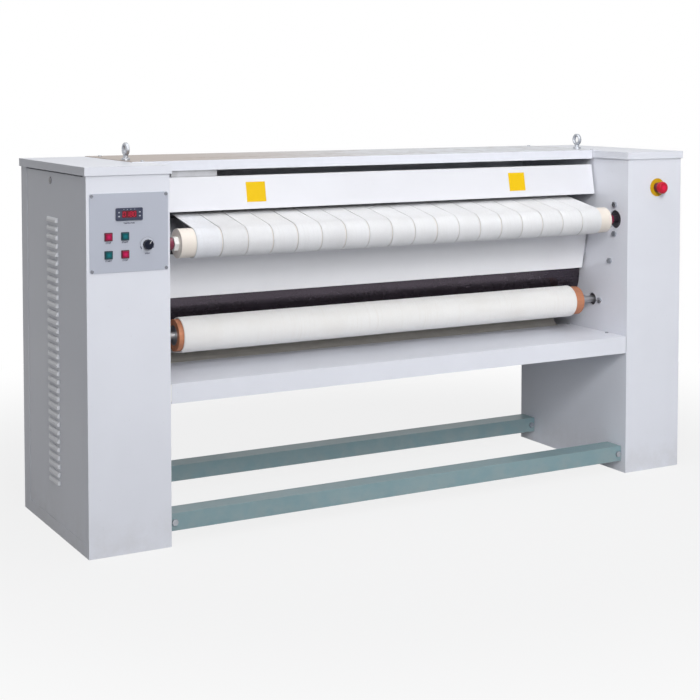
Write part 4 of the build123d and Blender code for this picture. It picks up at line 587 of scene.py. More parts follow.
@dataclass
class Brushed(Effect):
    """Fine parallel scratches: noise stretched fifty times along X.

    The vector comes already turned, so that its X runs along the scratches.

    Attributes:
        squeeze: scale of the coordinates.
        fine: the scratches' height.
        broad: streaks of tone.
    """

    name = "brushed"
    outputs = ("Height", "Streak")
    squeeze: Triple = (0.02, 1.0, 1.0)
    fine: Noise = Noise(1900.0, 2.0, 0.6)
    broad: Noise = Noise(160.0, 3.0, 0.6)

    def work_out(self, graph: Graph, given: bpy.types.bpy_prop_collection) -> tuple[Socket, ...]:
        """Stretch two kinds of noise; arguments and result as in Effect."""
        along = graph.turned(given["Vector"], Scale=self.squeeze)
        return graph.noise(along, self.fine), graph.noise(along, self.broad)


@dataclass
class Weave(Effect):
    """Plain weave of round threads.

    Warp and weft are the absolute sines of the two coordinates. Which of them lies on top
    changes from one thread to the next, as the sign of the product of the two sines.

    Attributes:
        wobble: noise that bends the threads.
        sway: how far it bends them.
        cross: span of the product over which one thread passes under the other.
        shade: noise of the threads' tone.
    """

    name = "weave"
    inputs = {"Vector": None, "Threads": 1400.0}
    outputs = ("Height", "Shade")
    wobble: Noise = Noise(60.0)
    sway: float = 0.0006
    cross: Pair = (-0.25, 0.25)
    shade: Noise = Noise(900.0, 3.0, 0.7)

    def work_out(self, graph: Graph, given: bpy.types.bpy_prop_collection) -> tuple[Socket, ...]:
        """Cross the threads; arguments and result as in Effect."""
        wobble = graph.noise(given["Vector"], self.wobble)
        flat = graph.add("SeparateXYZ", given["Vector"]).outputs
        waves = []
        for axis in (0, 1):
            bent = graph.calc("MULTIPLY_ADD", wobble, self.sway, flat[axis])
            half_turns = graph.calc("MULTIPLY", given["Threads"], math.pi)
            waves.append(graph.calc("SINE", graph.calc("MULTIPLY", bent, half_turns)))
        warp, weft = (graph.calc("ABSOLUTE", wave) for wave in waves)
        over = graph.spread(graph.calc("MULTIPLY", *waves), self.cross)
        under = graph.calc("SUBTRACT", 1.0, over)
        height = graph.calc("ADD", graph.calc("MULTIPLY", warp, over), graph.calc("MULTIPLY", weft, under))
        return height, graph.noise(given["Vector"], self.shade)


COAT, EDGES, BRUSHED, WEAVE = Coat(), Edges(), Brushed(), Weave()


def toned(colour: Colour, factor: float, lift: float = 0.0) -> Colour:
    """Colour made lighter or darker, at most white.

    Args:
        colour: the colour.
        factor: what each part is multiplied by.
        lift: what is added to it.

    Returns:
        The new colour.
    """
    return tuple(min(1.0, part * factor + lift) for part in colour)


# ---------------------------------------------------------------- finishes
class Grain(Enum):
    """Way in which a metal was brushed or turned, as the turn of its coordinates."""

    ALONG_X = ORIGIN
    ALONG_Z = (0.0, QUARTER, 0.0)


@dataclass(frozen=True)
class Finish:
    """One material.

    Attributes:
        name: the material slot, or the material's own name.
        colour: its main colour.
    """

    name: str
    colour: Colour

    def dress(self, graph: Graph, shader: bpy.types.Node, place: Socket) -> None:
        """Feed the shader.

        Args:
            graph: the material's graph.
            shader: its shader.
            place: the object coordinates.
        """
        raise NotImplementedError

    def build(self) -> bpy.types.Material:
        """Build the material.

        Returns:
            The material.
        """
        material = bpy.data.materials.new(self.name)
        material.use_nodes = True
        material.node_tree.nodes.clear()
        graph = Graph(material.node_tree)
        place = graph.add("TexCoord").outputs["Object"]
        shader = graph.add("BsdfPrincipled")
        graph.add("OutputMaterial", shader.outputs[0])
        self.dress(graph, shader, place)
        return material


@dataclass(frozen=True)
class Paint(Finish):
    """Sprayed or powder coated sheet.

    Attributes:
        worn: what shows at worn edges.
        rough: roughness of the coat.
        peel: cycles a metre of the orange peel.
        depth: height of the peel.
        wear: how much of the edges is worn, from 0 to 1.
        floor_dust_and_shade: how much the paint darkens near the floor, part dusty patches and part painted
            shade.
    """

    DRIFT_SPAN: ClassVar[Pair] = (0.3, 0.7)
    DRIFT_TONES: ClassVar[Pair] = (0.955, 1.02)
    SPECK: ClassVar[Colour] = (0.25, 0.24, 0.22)
    SPECK_SHARE: ClassVar[float] = 0.16
    # Darker, dusty patches near the floor, which also stand as painted shade low down.
    DUST_AND_SHADE: ClassVar[Colour] = (0.42, 0.40, 0.37)
    DUST_AND_SHADE_PATCH: ClassVar[Noise] = Noise(14.0, 4.0, 0.65, (0.3, 0.7))
    DUST_AND_SHADE_REACH: ClassVar[float] = 0.16
    ROUGH_SPAN: ClassVar[Pair] = (0.25, 0.75)
    SMOOTHER: ClassVar[float] = 0.05
    ROUGHER: ClassVar[float] = 0.07

    worn: Colour = (0.55, 0.56, 0.58)
    rough: float = 0.42
    peel: float = 420.0
    depth: float = 0.00006
    wear: float = 0.35
    floor_dust_and_shade: float = 0.0

    def dust_and_shade(self, graph: Graph, place: Socket) -> Socket:
        """Where the paint darkens near the floor, part dusty patches and part painted shade: patches that
        thin out upwards.

        Args:
            graph: the material's graph.
            place: the object coordinates.

        Returns:
            The mask.
        """
        height = graph.add("SeparateXYZ", place).outputs[2]
        near = graph.spread(height, (0.0, self.DUST_AND_SHADE_REACH), (1.0, 0.0))
        patchy = graph.calc("MULTIPLY", near, graph.patches(place, self.DUST_AND_SHADE_PATCH))
        return graph.calc("MULTIPLY", patchy, self.floor_dust_and_shade)

    def dress(self, graph: Graph, shader: bpy.types.Node, place: Socket) -> None:
        """Lay drift, specks, the dusty and painted-shade band near the floor and worn edges over each other;
        arguments as in Finish.
        """
        coat = COAT.place(graph, Vector=place, Peel=self.peel)
        edges = EDGES.place(graph, Vector=place)["Mask"]
        deep, light = (toned(self.colour, tone) for tone in self.DRIFT_TONES)
        colour = graph.tint(graph.spread(coat["Drift"], self.DRIFT_SPAN), deep, light)
        colour = graph.tint(graph.calc("MULTIPLY", coat["Specks"], self.SPECK_SHARE), colour, self.SPECK)
        # Darker patches near the floor, part dusty and part painted shade.
        if self.floor_dust_and_shade:
            colour = graph.tint(self.dust_and_shade(graph, place), colour, self.DUST_AND_SHADE)
        colour = graph.tint(graph.calc("MULTIPLY", edges, self.wear), colour, self.worn)
        roughness = (self.rough - self.SMOOTHER, self.rough + self.ROUGHER)
        graph.feed(
            shader,
            Base_Color=colour,
            Roughness=graph.spread(coat["Drift"], self.ROUGH_SPAN, roughness),
            Normal=graph.bump(coat["Peel"], self.depth),
        )


@dataclass(frozen=True)
class Metal(Finish):
    """Bare, plated or polished metal.

    Attributes:
        stain: its tarnish or grime.
        rough: roughness where it is clean.
        grain: direction of the scratches.
        metallic: how metallic it reads.
        stain_share: how much of it is stained.
        scratch: height of the scratches.
    """

    BLOTCH: ClassVar[Noise] = Noise(22.0, 5.0, 0.62, (0.42, 0.72))
    STREAK_SPAN: ClassVar[Pair] = (0.3, 0.7)
    STREAK_TONE: ClassVar[float] = 0.86
    EDGE_TONE: ClassVar[float] = 1.25
    EDGE_SHARE: ClassVar[float] = 0.5
    BLOTCH_ROUGHER: ClassVar[float] = 0.35
    STREAK_ROUGHER: ClassVar[float] = 0.06

    stain: Colour
    rough: float = 0.35
    grain: Grain = Grain.ALONG_X
    metallic: float = 1.0
    stain_share: float = 0.35
    scratch: float = 0.00002

    def dress(self, graph: Graph, shader: bpy.types.Node, place: Socket) -> None:
        """Lay streaks, stains and bright edges over each other; arguments as in Finish."""
        brushed = BRUSHED.place(graph, Vector=graph.turned(place, Rotation=self.grain.value))
        edges = EDGES.place(graph, Vector=place)["Mask"]
        blotch = graph.patches(place, self.BLOTCH, (0.0, self.stain_share))
        streak = graph.spread(brushed["Streak"], self.STREAK_SPAN)
        colour = graph.tint(streak, toned(self.colour, self.STREAK_TONE), self.colour)
        colour = graph.tint(blotch, colour, self.stain)
        bright = toned(self.colour, self.EDGE_TONE)
        colour = graph.tint(graph.calc("MULTIPLY", edges, self.EDGE_SHARE), colour, bright)
        rough = graph.calc("ADD", graph.calc("MULTIPLY", blotch, self.BLOTCH_ROUGHER), self.rough)
        rough = graph.calc("ADD", graph.calc("MULTIPLY", streak, self.STREAK_ROUGHER), rough)
        normal = graph.bump(brushed["Height"], self.scratch)
        graph.feed(shader, Base_Color=colour, Metallic=self.metallic, Roughness=rough, Normal=normal)


@dataclass(frozen=True)
class Plastic(Finish):
    """Moulded plastic, rubber or lacquer, with a slight mould texture.

    Attributes:
        rough: its roughness.
        texture: cycles a metre of the mould texture.
        depth: height of the texture.
        glow: strength of its own light: real light for lit parts, painted glow for translucent parts.
        mottle: how much lighter its lightest patches are.
        gloss: strength of the surface's reflection, 0.5 for common plastic.
    """

    LIFT: ClassVar[float] = 0.06
    PATCH: ClassVar[Noise] = Noise(90.0, 4.0, 0.6, (0.35, 0.7))
    PATCH_SHARE: ClassVar[float] = 0.45
    EDGE_RADIUS: ClassVar[float] = 0.0006
    EDGE_TONE: ClassVar[float] = 1.3
    EDGE_SHARE: ClassVar[float] = 0.45
    ROUGH_SPAN: ClassVar[Pair] = (0.3, 0.7)
    SMOOTHER: ClassVar[float] = 0.05
    ROUGHER: ClassVar[float] = 0.08

    rough: float = 0.4
    texture: float = 1500.0
    depth: float = 0.00003
    glow: float = 0.0
    mottle: float = 0.25
    gloss: float = 0.5

    def dress(self, graph: Graph, shader: bpy.types.Node, place: Socket) -> None:
        """Lay patches and rubbed edges over each other; arguments as in Finish."""
        coat = COAT.place(graph, Vector=place, Peel=self.texture)
        edges = EDGES.place(graph, Vector=place, Radius=self.EDGE_RADIUS)["Mask"]
        light = toned(self.colour, 1 + self.mottle, self.LIFT * self.mottle)
        rubbed = toned(self.colour, self.EDGE_TONE, self.LIFT)
        colour = graph.tint(graph.patches(place, self.PATCH, (0.0, self.PATCH_SHARE)), self.colour, light)
        colour = graph.tint(graph.calc("MULTIPLY", edges, self.EDGE_SHARE), colour, rubbed)
        roughness = (self.rough - self.SMOOTHER, self.rough + self.ROUGHER)
        graph.feed(
            shader,
            Base_Color=colour,
            Specular_IOR_Level=self.gloss,
            Roughness=graph.spread(coat["Drift"], self.ROUGH_SPAN, roughness),
            Normal=graph.bump(coat["Peel"], self.depth),
        )
        if self.glow:
            graph.feed(shader, Emission_Color=self.colour, Emission_Strength=self.glow)


@dataclass(frozen=True)
class Cloth(Finish):
    """Woven or needled cloth on a piece that has its own cloth map, in metres.

    Attributes:
        soil: what it looks like where it is soiled.
        threads: threads a metre.
        depth: height of the threads.
        half_width: from the middle of the cloth to its edge.
        edge: width of the darker strip along each edge.
        nap: height of the fibres that stand out.
        soil_share: how much of the soil's colour shows where it is strongest.
    """

    EDGE_SHARE: ClassVar[float] = 0.75
    BLOTCH: ClassVar[Noise] = Noise(7.0, 5.0, 0.6, (0.4, 0.75))
    STREAK: ClassVar[Noise] = Noise(130.0, 3.0, 0.6, (0.45, 0.8))
    STREAK_SHARE: ClassVar[float] = 0.35
    STREAK_STRETCH: ClassVar[Triple] = (1.0, 0.05, 1.0)
    THREAD_SPAN: ClassVar[Pair] = (0.1, 0.9)
    # Tone of the valleys between threads: painted shade.
    BETWEEN_SHADE_TONE: ClassVar[float] = 0.88
    SHADE_SPAN: ClassVar[Pair] = (0.35, 0.7)
    SHADE_SHARE: ClassVar[float] = 0.14
    THREAD_RELIEF: ClassVar[float] = 0.8
    FIBRES: ClassVar[Noise] = Noise(2600.0, 3.0, 0.7)
    ROUGH: ClassVar[float] = 0.88
    SHEEN: ClassVar[float] = 0.25
    SHEEN_ROUGH: ClassVar[float] = 0.5

    soil: Colour
    threads: float
    depth: float
    half_width: float
    edge: float = 0.004
    nap: float = 0.0001
    soil_share: float = 0.4

    def soiling(self, graph: Graph, place: Socket, flat: Socket) -> Socket:
        """Mask of the soil colour: the strongest of the darker edge strips, blotches and streaks.

        Args:
            graph: the material's graph.
            place: the object coordinates.
            flat: the cloth map.

        Returns:
            The mask.
        """
        # Darker strip along each edge of the cloth.
        out = graph.calc("ABSOLUTE", graph.add("SeparateXYZ", flat).outputs[0])
        rim = graph.spread(out, (self.half_width - self.edge, self.half_width), (0.0, self.EDGE_SHARE))
        blotch = graph.patches(place, self.BLOTCH, (0.0, self.soil_share))
        lines = graph.turned(flat, Scale=self.STREAK_STRETCH)
        streak = graph.patches(lines, self.STREAK, (0.0, self.STREAK_SHARE))
        return graph.calc("MAXIMUM", graph.calc("MAXIMUM", rim, blotch), streak)

    def dress(self, graph: Graph, shader: bpy.types.Node, place: Socket) -> None:
        """Lay threads with painted shade between them, soil and nap over each other; arguments as in Finish.
        """
        flat = graph.add("UVMap", uv_map=CLOTH_MAP).outputs[0]
        weave = WEAVE.place(graph, Vector=flat, Threads=self.threads)
        # Valleys between the threads painted darker: painted shade.
        between = toned(self.colour, self.BETWEEN_SHADE_TONE)
        thread = graph.tint(graph.spread(weave["Height"], self.THREAD_SPAN), between, self.colour)
        shade = graph.spread(weave["Shade"], self.SHADE_SPAN, (0.0, self.SHADE_SHARE))
        thread = graph.tint(shade, thread, self.soil)
        woven = graph.bump(weave["Height"], self.depth, self.THREAD_RELIEF)
        graph.feed(
            shader,
            Base_Color=graph.tint(self.soiling(graph, place, flat), thread, self.soil),
            Roughness=self.ROUGH,
            Sheen_Weight=self.SHEEN,
            Sheen_Roughness=self.SHEEN_ROUGH,
            Normal=graph.bump(graph.noise(place, self.FIBRES), self.nap, under=woven),
        )


WHITE_COAT = (0.745, 0.762, 0.825)
TEAL_COAT = (0.205, 0.315, 0.345)
# Brownish tint over the left part of the top cover, fading out towards the right.
TOP_BROWN_TINT = (0.36, 0.295, 0.255)
# Cloth finishes need the width of the piece, so their makers build them.
FINISHES = (
    Paint("body_paint", WHITE_COAT, floor_dust_and_shade=0.2),
    Paint("guard_paint", (0.82, 0.825, 0.855), rough=0.38, wear=0.25),
    Paint("control_paint", (0.455, 0.480, 0.555), rough=0.34, peel=900.0, depth=0.00002, wear=0.5),
    Paint("channel_paint", TEAL_COAT, worn=(0.42, 0.44, 0.43), wear=0.7, floor_dust_and_shade=0.3),
    Metal("zinc_sheet", (0.58, 0.585, 0.62), (0.39, 0.39, 0.40), rough=0.42, stain_share=0.6),
    Metal("top_sheet", (0.60, 0.62, 0.66), (0.40, 0.37, 0.36), rough=0.4, metallic=0.7, stain_share=0.6),
    Metal("zinc_forging", (0.50, 0.52, 0.56), (0.24, 0.25, 0.26), rough=0.4),
    Metal("bolt_steel", (0.46, 0.48, 0.52), (0.2, 0.2, 0.2), rough=0.4, stain_share=0.5),
    Paint("roller_cream", (0.80, 0.735, 0.665), worn=(0.70, 0.60, 0.52), rough=0.4, wear=0.6),
    Plastic("hub_white", (0.78, 0.78, 0.76), rough=0.4),
    Plastic("collar_crimson", (0.16, 0.008, 0.035), rough=0.25),
    Metal("roller_steel", (0.56, 0.57, 0.58), (0.35, 0.34, 0.33), rough=0.3),
    Metal("roller_copper", (0.55, 0.225, 0.118), (0.38, 0.175, 0.105), rough=0.5, metallic=0.3),
    # The drum's near-black, purplish base colour is a painted reflection of the dark inside of the machine in
    # its polished face.
    Metal("drum_polished", (0.075, 0.062, 0.078), (0.05, 0.044, 0.05), rough=0.2, metallic=0.85),
    Metal("journal_steel", (0.5, 0.5, 0.5), (0.28, 0.26, 0.24), rough=0.32),
    Metal("heater_steel", (0.36, 0.33, 0.31), (0.2, 0.15, 0.12), rough=0.5),
    Paint("bearing_iron", (0.045, 0.04, 0.05), worn=(0.12, 0.12, 0.12), rough=0.5, peel=260.0, depth=0.0002),
    Metal("sprocket_steel", (0.3, 0.3, 0.31), (0.12, 0.11, 0.1), rough=0.4, stain_share=0.7),
    Metal("chain_steel", (0.33, 0.32, 0.31), (0.1, 0.09, 0.08), rough=0.42, stain_share=0.8),
    Paint("motor_paint", (0.13, 0.17, 0.22), worn=(0.3, 0.31, 0.32), rough=0.45, peel=300.0, wear=0.6),
    Paint("box_paint", (0.55, 0.55, 0.53), rough=0.45),
    Plastic("black_plastic", (0.018, 0.018, 0.022), rough=0.42),
    Plastic("display_case", (0.022, 0.028, 0.062), rough=0.3),
    Plastic("display_red", (0.085, 0.004, 0.010), rough=0.14, depth=0.000005, glow=0.5, gloss=0.3),
    # The button caps' glow is painted glow: the caps are translucent, not lamps.
    Plastic("button_red", (0.30, 0.005, 0.045), rough=0.3, glow=0.05, gloss=0.2),
    Plastic("button_green", (0.002, 0.075, 0.085), rough=0.3, glow=0.05, gloss=0.2),
    Paint("dial_metal", (0.53, 0.555, 0.63), worn=(0.7, 0.7, 0.72), rough=0.38, peel=1200.0, depth=0.00001),
    Plastic("knob_black", (0.006, 0.008, 0.020), rough=0.3, gloss=0.12),
    Plastic("plate_yellow", (0.75, 0.48, 0.004), rough=0.5, mottle=0.05, gloss=0.2),
    Plastic("estop_yellow", (0.56, 0.33, 0.004), rough=0.45, mottle=0.1, gloss=0.25),
    Plastic("estop_red", (0.46, 0.004, 0.02), rough=0.32, gloss=0.25),
    Metal("lock_zinc", (0.20, 0.20, 0.21), (0.1, 0.1, 0.1), rough=0.4, grain=Grain.ALONG_Z),
    Paint("guard_front", (0.715, 0.72, 0.76), rough=0.38, wear=0.25),
    Metal("guide_sheet", (0.50, 0.475, 0.43), (0.38, 0.36, 0.33), rough=0.5, metallic=0.15),
    Plastic("collar_maroon", (0.10, 0.008, 0.028), rough=0.3),
)
# Nodes whose finish differs from that of their slot.
OWN_FINISHES = {"finger_guard": "guard_front", "guide_plate": "guide_sheet", "estop_collar": "collar_maroon"}


class Area(Enum):
    """Form of the area that a second finish covers, as the weight of each axis."""

    ROUND_ABOUT_X = (0.0, 1.0, 1.0)
    ROUND_ABOUT_Y = (1.0, 0.0, 1.0)
    LAYER_ACROSS_X = (1.0, 0.0, 0.0)
    LAYER_ACROSS_Y = (0.0, 1.0, 0.0)
    LAYER_ACROSS_Z = (0.0, 0.0, 1.0)


@dataclass(frozen=True)
class Overlay:
    """Second finish on a part of one piece.

    It shows where the offset from a centre, each of its axes times a weight, is shorter than a
    limit.

    Attributes:
        node: the frame's piece.
        centre: where the offset starts.
        area: form of the area.
        limit: where the second finish ends.
        soft: half the width of its edge.
        colour: its colour.
        metallic: how metallic it reads.
        rough: its roughness.
        mottle: how much darker its darkest patches are.
    """

    RAGGED: ClassVar[Noise] = Noise(9.0, 3.0)
    RAGGED_SHARE: ClassVar[float] = 0.5
    PATCH: ClassVar[Noise] = Noise(60.0, 3.0, 0.6, (0.35, 0.7))

    node: str
    centre: Triple
    area: Area
    limit: float
    soft: float
    colour: Colour
    metallic: float = 0.0
    rough: float = 0.42
    mottle: float = 0.015

    def mask(self, graph: Graph, place: Socket) -> Socket:
        """Where the second finish shows.

        Args:
            graph: the material's graph.
            place: the object coordinates.

        Returns:
            The mask, from 0 to 1.
        """
        offset = graph.add("VectorMath", place, self.centre, operation="SUBTRACT").outputs[0]
        weighed = graph.add("VectorMath", offset, self.area.value, operation="MULTIPLY").outputs[0]
        length = graph.add("VectorMath", weighed, operation="LENGTH").outputs["Value"]
        drift = graph.noise(place, self.RAGGED)
        ragged = graph.calc("MULTIPLY_ADD", drift, self.soft * self.RAGGED_SHARE, length)
        return graph.spread(ragged, (self.limit - self.soft, self.limit + self.soft), (1.0, 0.0))

    def apply(self) -> None:
        """Give the piece its own copy of its material and lay the second finish over it."""
        slots = frame["nodes"][self.node].material_slots
        own = slots[0].material
        if own.users > 1:
            own = own.copy()
        own.name = f"{self.node}_finish"
        graph = Graph(own.node_tree)
        shader = next(node for node in own.node_tree.nodes if node.type == "BSDF_PRINCIPLED")
        place = graph.add("TexCoord").outputs["Object"]
        mask = self.mask(graph, place)
        patches = graph.patches(place, self.PATCH)
        colour = graph.tint(patches, toned(self.colour, 1 - self.mottle), self.colour)
        under = shader.inputs["Base Color"].links[0].from_socket
        graph.feed(shader, Base_Color=graph.tint(mask, under, colour))
        graph.blend(shader.inputs["Metallic"], mask, self.metallic)
        graph.blend(shader.inputs["Roughness"], mask, self.rough)
        for slot in slots:
            slot.material = own


STUB_STEEL = (0.46, 0.46, 0.47)
# Feed roller's shaft stubs painted near black: painted shade of the wall holes that they run in.
STUB_PAINTED_SHADE = (0.035, 0.028, 0.038)
SCREW_PLATE = (0.24, 0.25, 0.28)
# Louvre hoods painted lighter than their panel: a painted highlight where they catch the light.
LOUVRE_PAINTED_HIGHLIGHT = (0.92, 0.93, 0.97)
# Brighter round middle of the e-stop head: a painted highlight on the dome.
HEAD_PAINTED_HIGHLIGHT = (0.74, 0.008, 0.06)
# Frame round a button, and the painted glow that brightens the middle of its cap, by the first word of the
# button's name.
BUTTON_FRAME_AND_GLOW = {
    "stop": ((0.10, 0.004, 0.022), (0.55, 0.012, 0.10)),
    "start": ((0.006, 0.035, 0.05), (0.004, 0.155, 0.185)),
}
BUTTONS = ("stop_button_upper", "stop_button_lower", "start_button_upper", "start_button_lower")


def overlays() -> list[Overlay]:
    """Every second finish, measured on the frame.

    Returns:
        The overlays in the order in which they are laid.
    """
    round_x, round_y = Area.ROUND_ABOUT_X, Area.ROUND_ABOUT_Y
    across_x, across_y, across_z = Area.LAYER_ACROSS_X, Area.LAYER_ACROSS_Y, Area.LAYER_ACROSS_Z
    lower_roller = (0.0, *axis_of("lower_roller"))
    feed_roller = (0.0, *axis_of("feed_roller"))
    left_end, front, _ = corners_of("top_cover")[0].tolist()
    control_front = float(front_of("control_plate")[1])
    found = [
        Overlay("lower_roller", lower_roller, round_x, 0.030, 0.0006, STUB_STEEL, 1.0),
        # Painted shade on the feed roller's shaft stubs.
        Overlay("feed_roller", feed_roller, round_x, 0.016, 0.0006, STUB_PAINTED_SHADE, 0.5),
        Overlay("mounting_brackets", ORIGIN, across_z, 0.12, 0.001, TEAL_COAT),
        Overlay("top_cover", (left_end, 0.0, 0.0), across_x, 0.75, 0.55, TOP_BROWN_TINT, 0.6, 0.4, 0.06),
        Overlay("top_cover", (0.0, front, 0.0), across_y, 0.004, 0.0004, WHITE_COAT),
        Overlay("machine_screws", (0.0, control_front, 0.0), across_y, 0.006, 0.0004, SCREW_PLATE, 0.9, 0.25),
    ]
    for name in BUTTONS:
        middle = tuple(middle_of(name).tolist())
        frame_tone, cap_painted_glow = BUTTON_FRAME_AND_GLOW[name.split("_")[0]]
        found.append(Overlay("button_housings", middle, round_y, 0.020, 0.0005, frame_tone, rough=0.35))
        found.append(Overlay(name, middle, round_y, 0.0052, 0.0032, cap_painted_glow, rough=0.28))
    # Painted highlight on the louvre hoods, the outermost few millimetres of each side panel.
    for name, side in (("left_side_panel", 0), ("right_side_panel", 1)):
        outside = (float(corners_of(name)[side][0]), 0.0, 0.0)
        found.append(Overlay(name, outside, across_x, 0.0045, 0.001, LOUVRE_PAINTED_HIGHLIGHT))
    middle = tuple(middle_of("estop_head").tolist())
    found.append(Overlay("estop_head", middle, round_y, 0.0105, 0.005, HEAD_PAINTED_HIGHLIGHT, rough=0.3))
    return found


def dress_frame() -> None:
    """Build every finish and put it on the frame's nodes."""
    made = {finish.name: finish.build() for finish in FINISHES}
    for part in frame["record"]["subparts"]:
        slot = OWN_FINISHES.get(part["node"], part["material_slot"])
        if slot in made:
            for place in frame["nodes"][part["node"]].material_slots:
                place.material = made[slot]
    extra = overlays()
    for overlay in extra:
        overlay.apply()
    LOG.info("finishes: %d, overlays: %d", len(made), len(extra))


# ---------------------------------------------------------------- bands round rollers
@dataclass
class Turn:
    """One roller that a band goes round.

    Attributes:
        centre: the roller's axis as (y, z).
        radius: radius of the band's inner face here.
        way: +1 where the band goes round counter-clockwise, seen from +X, and -1 where it bends
            the other way.
    """

    centre: Pair
    radius: float
    way: int = 1


@dataclass
class TangentLoop:
    """Closed run of arcs round turns, joined by straight tangents.

    Attributes:
        turns: the turns in order.
        arc_step: largest angle between samples on an arc.
        run_step: largest distance between samples on a straight run.
    """

    turns: list[Turn]
    arc_step: float = math.radians(5)
    run_step: float = 0.012

    def tangent(self, a: Turn, b: Turn) -> tuple[np.ndarray, np.ndarray]:
        """Ends of the straight run from one turn to the next.

        The run's heading is the heading between the axes, turned by the arcsine of the
        difference of the signed radii over their distance.

        Args:
            a: the turn that it leaves.
            b: the turn that it reaches.

        Returns:
            Its two ends as (y, z).
        """
        start, end = np.array(a.centre), np.array(b.centre)
        across = end - start
        lean = math.asin((b.way * b.radius - a.way * a.radius) / np.hypot(*across))
        heading = math.atan2(across[1], across[0]) - lean
        left = np.array([-math.sin(heading), math.cos(heading)])
        return start - a.way * a.radius * left, end - b.way * b.radius * left

    def sample(self) -> tuple[np.ndarray, np.ndarray, np.ndarray]:
        """Points along the loop: each turn's arc, then the straight run that leaves it.

        Returns:
            Points (y, z), unit normals that look out of the loop, and the length along the loop
            at each point with the whole length as a last entry.
        """
        count = len(self.turns)
        runs = [self.tangent(self.turns[i], self.turns[(i + 1) % count]) for i in range(count)]
        pieces = []
        for i, turn in enumerate(self.turns):
            middle = np.array(turn.centre)
            arrive, leave = runs[i - 1][1] - middle, runs[i][0] - middle
            first = math.atan2(arrive[1], arrive[0])
            sweep = (turn.way * (math.atan2(leave[1], leave[0]) - first)) % FULL_TURN
            steps = max(2, int(sweep / self.arc_step) + 1)
            angle = first + turn.way * np.linspace(0, sweep, steps)
            pieces.append(middle + turn.radius * np.stack([np.cos(angle), np.sin(angle)], -1))
            start, end = runs[i]
            steps = max(2, int(np.hypot(*(end - start)) / self.run_step) + 1)
            share = np.linspace(0, 1, steps, endpoint=False)[1:, None]
            pieces.append(start + (end - start) * share)
        points = np.vstack(pieces)
        ahead = np.roll(points, -1, axis=0) - np.roll(points, 1, axis=0)
        ahead /= np.hypot(ahead[:, 0], ahead[:, 1])[:, None]
        normals = np.stack([ahead[:, 1], -ahead[:, 0]], -1)
        steps_taken = np.hypot(*(np.roll(points, -1, axis=0) - points).T)
        return points, normals, np.concatenate([[0.0], np.cumsum(steps_taken)])


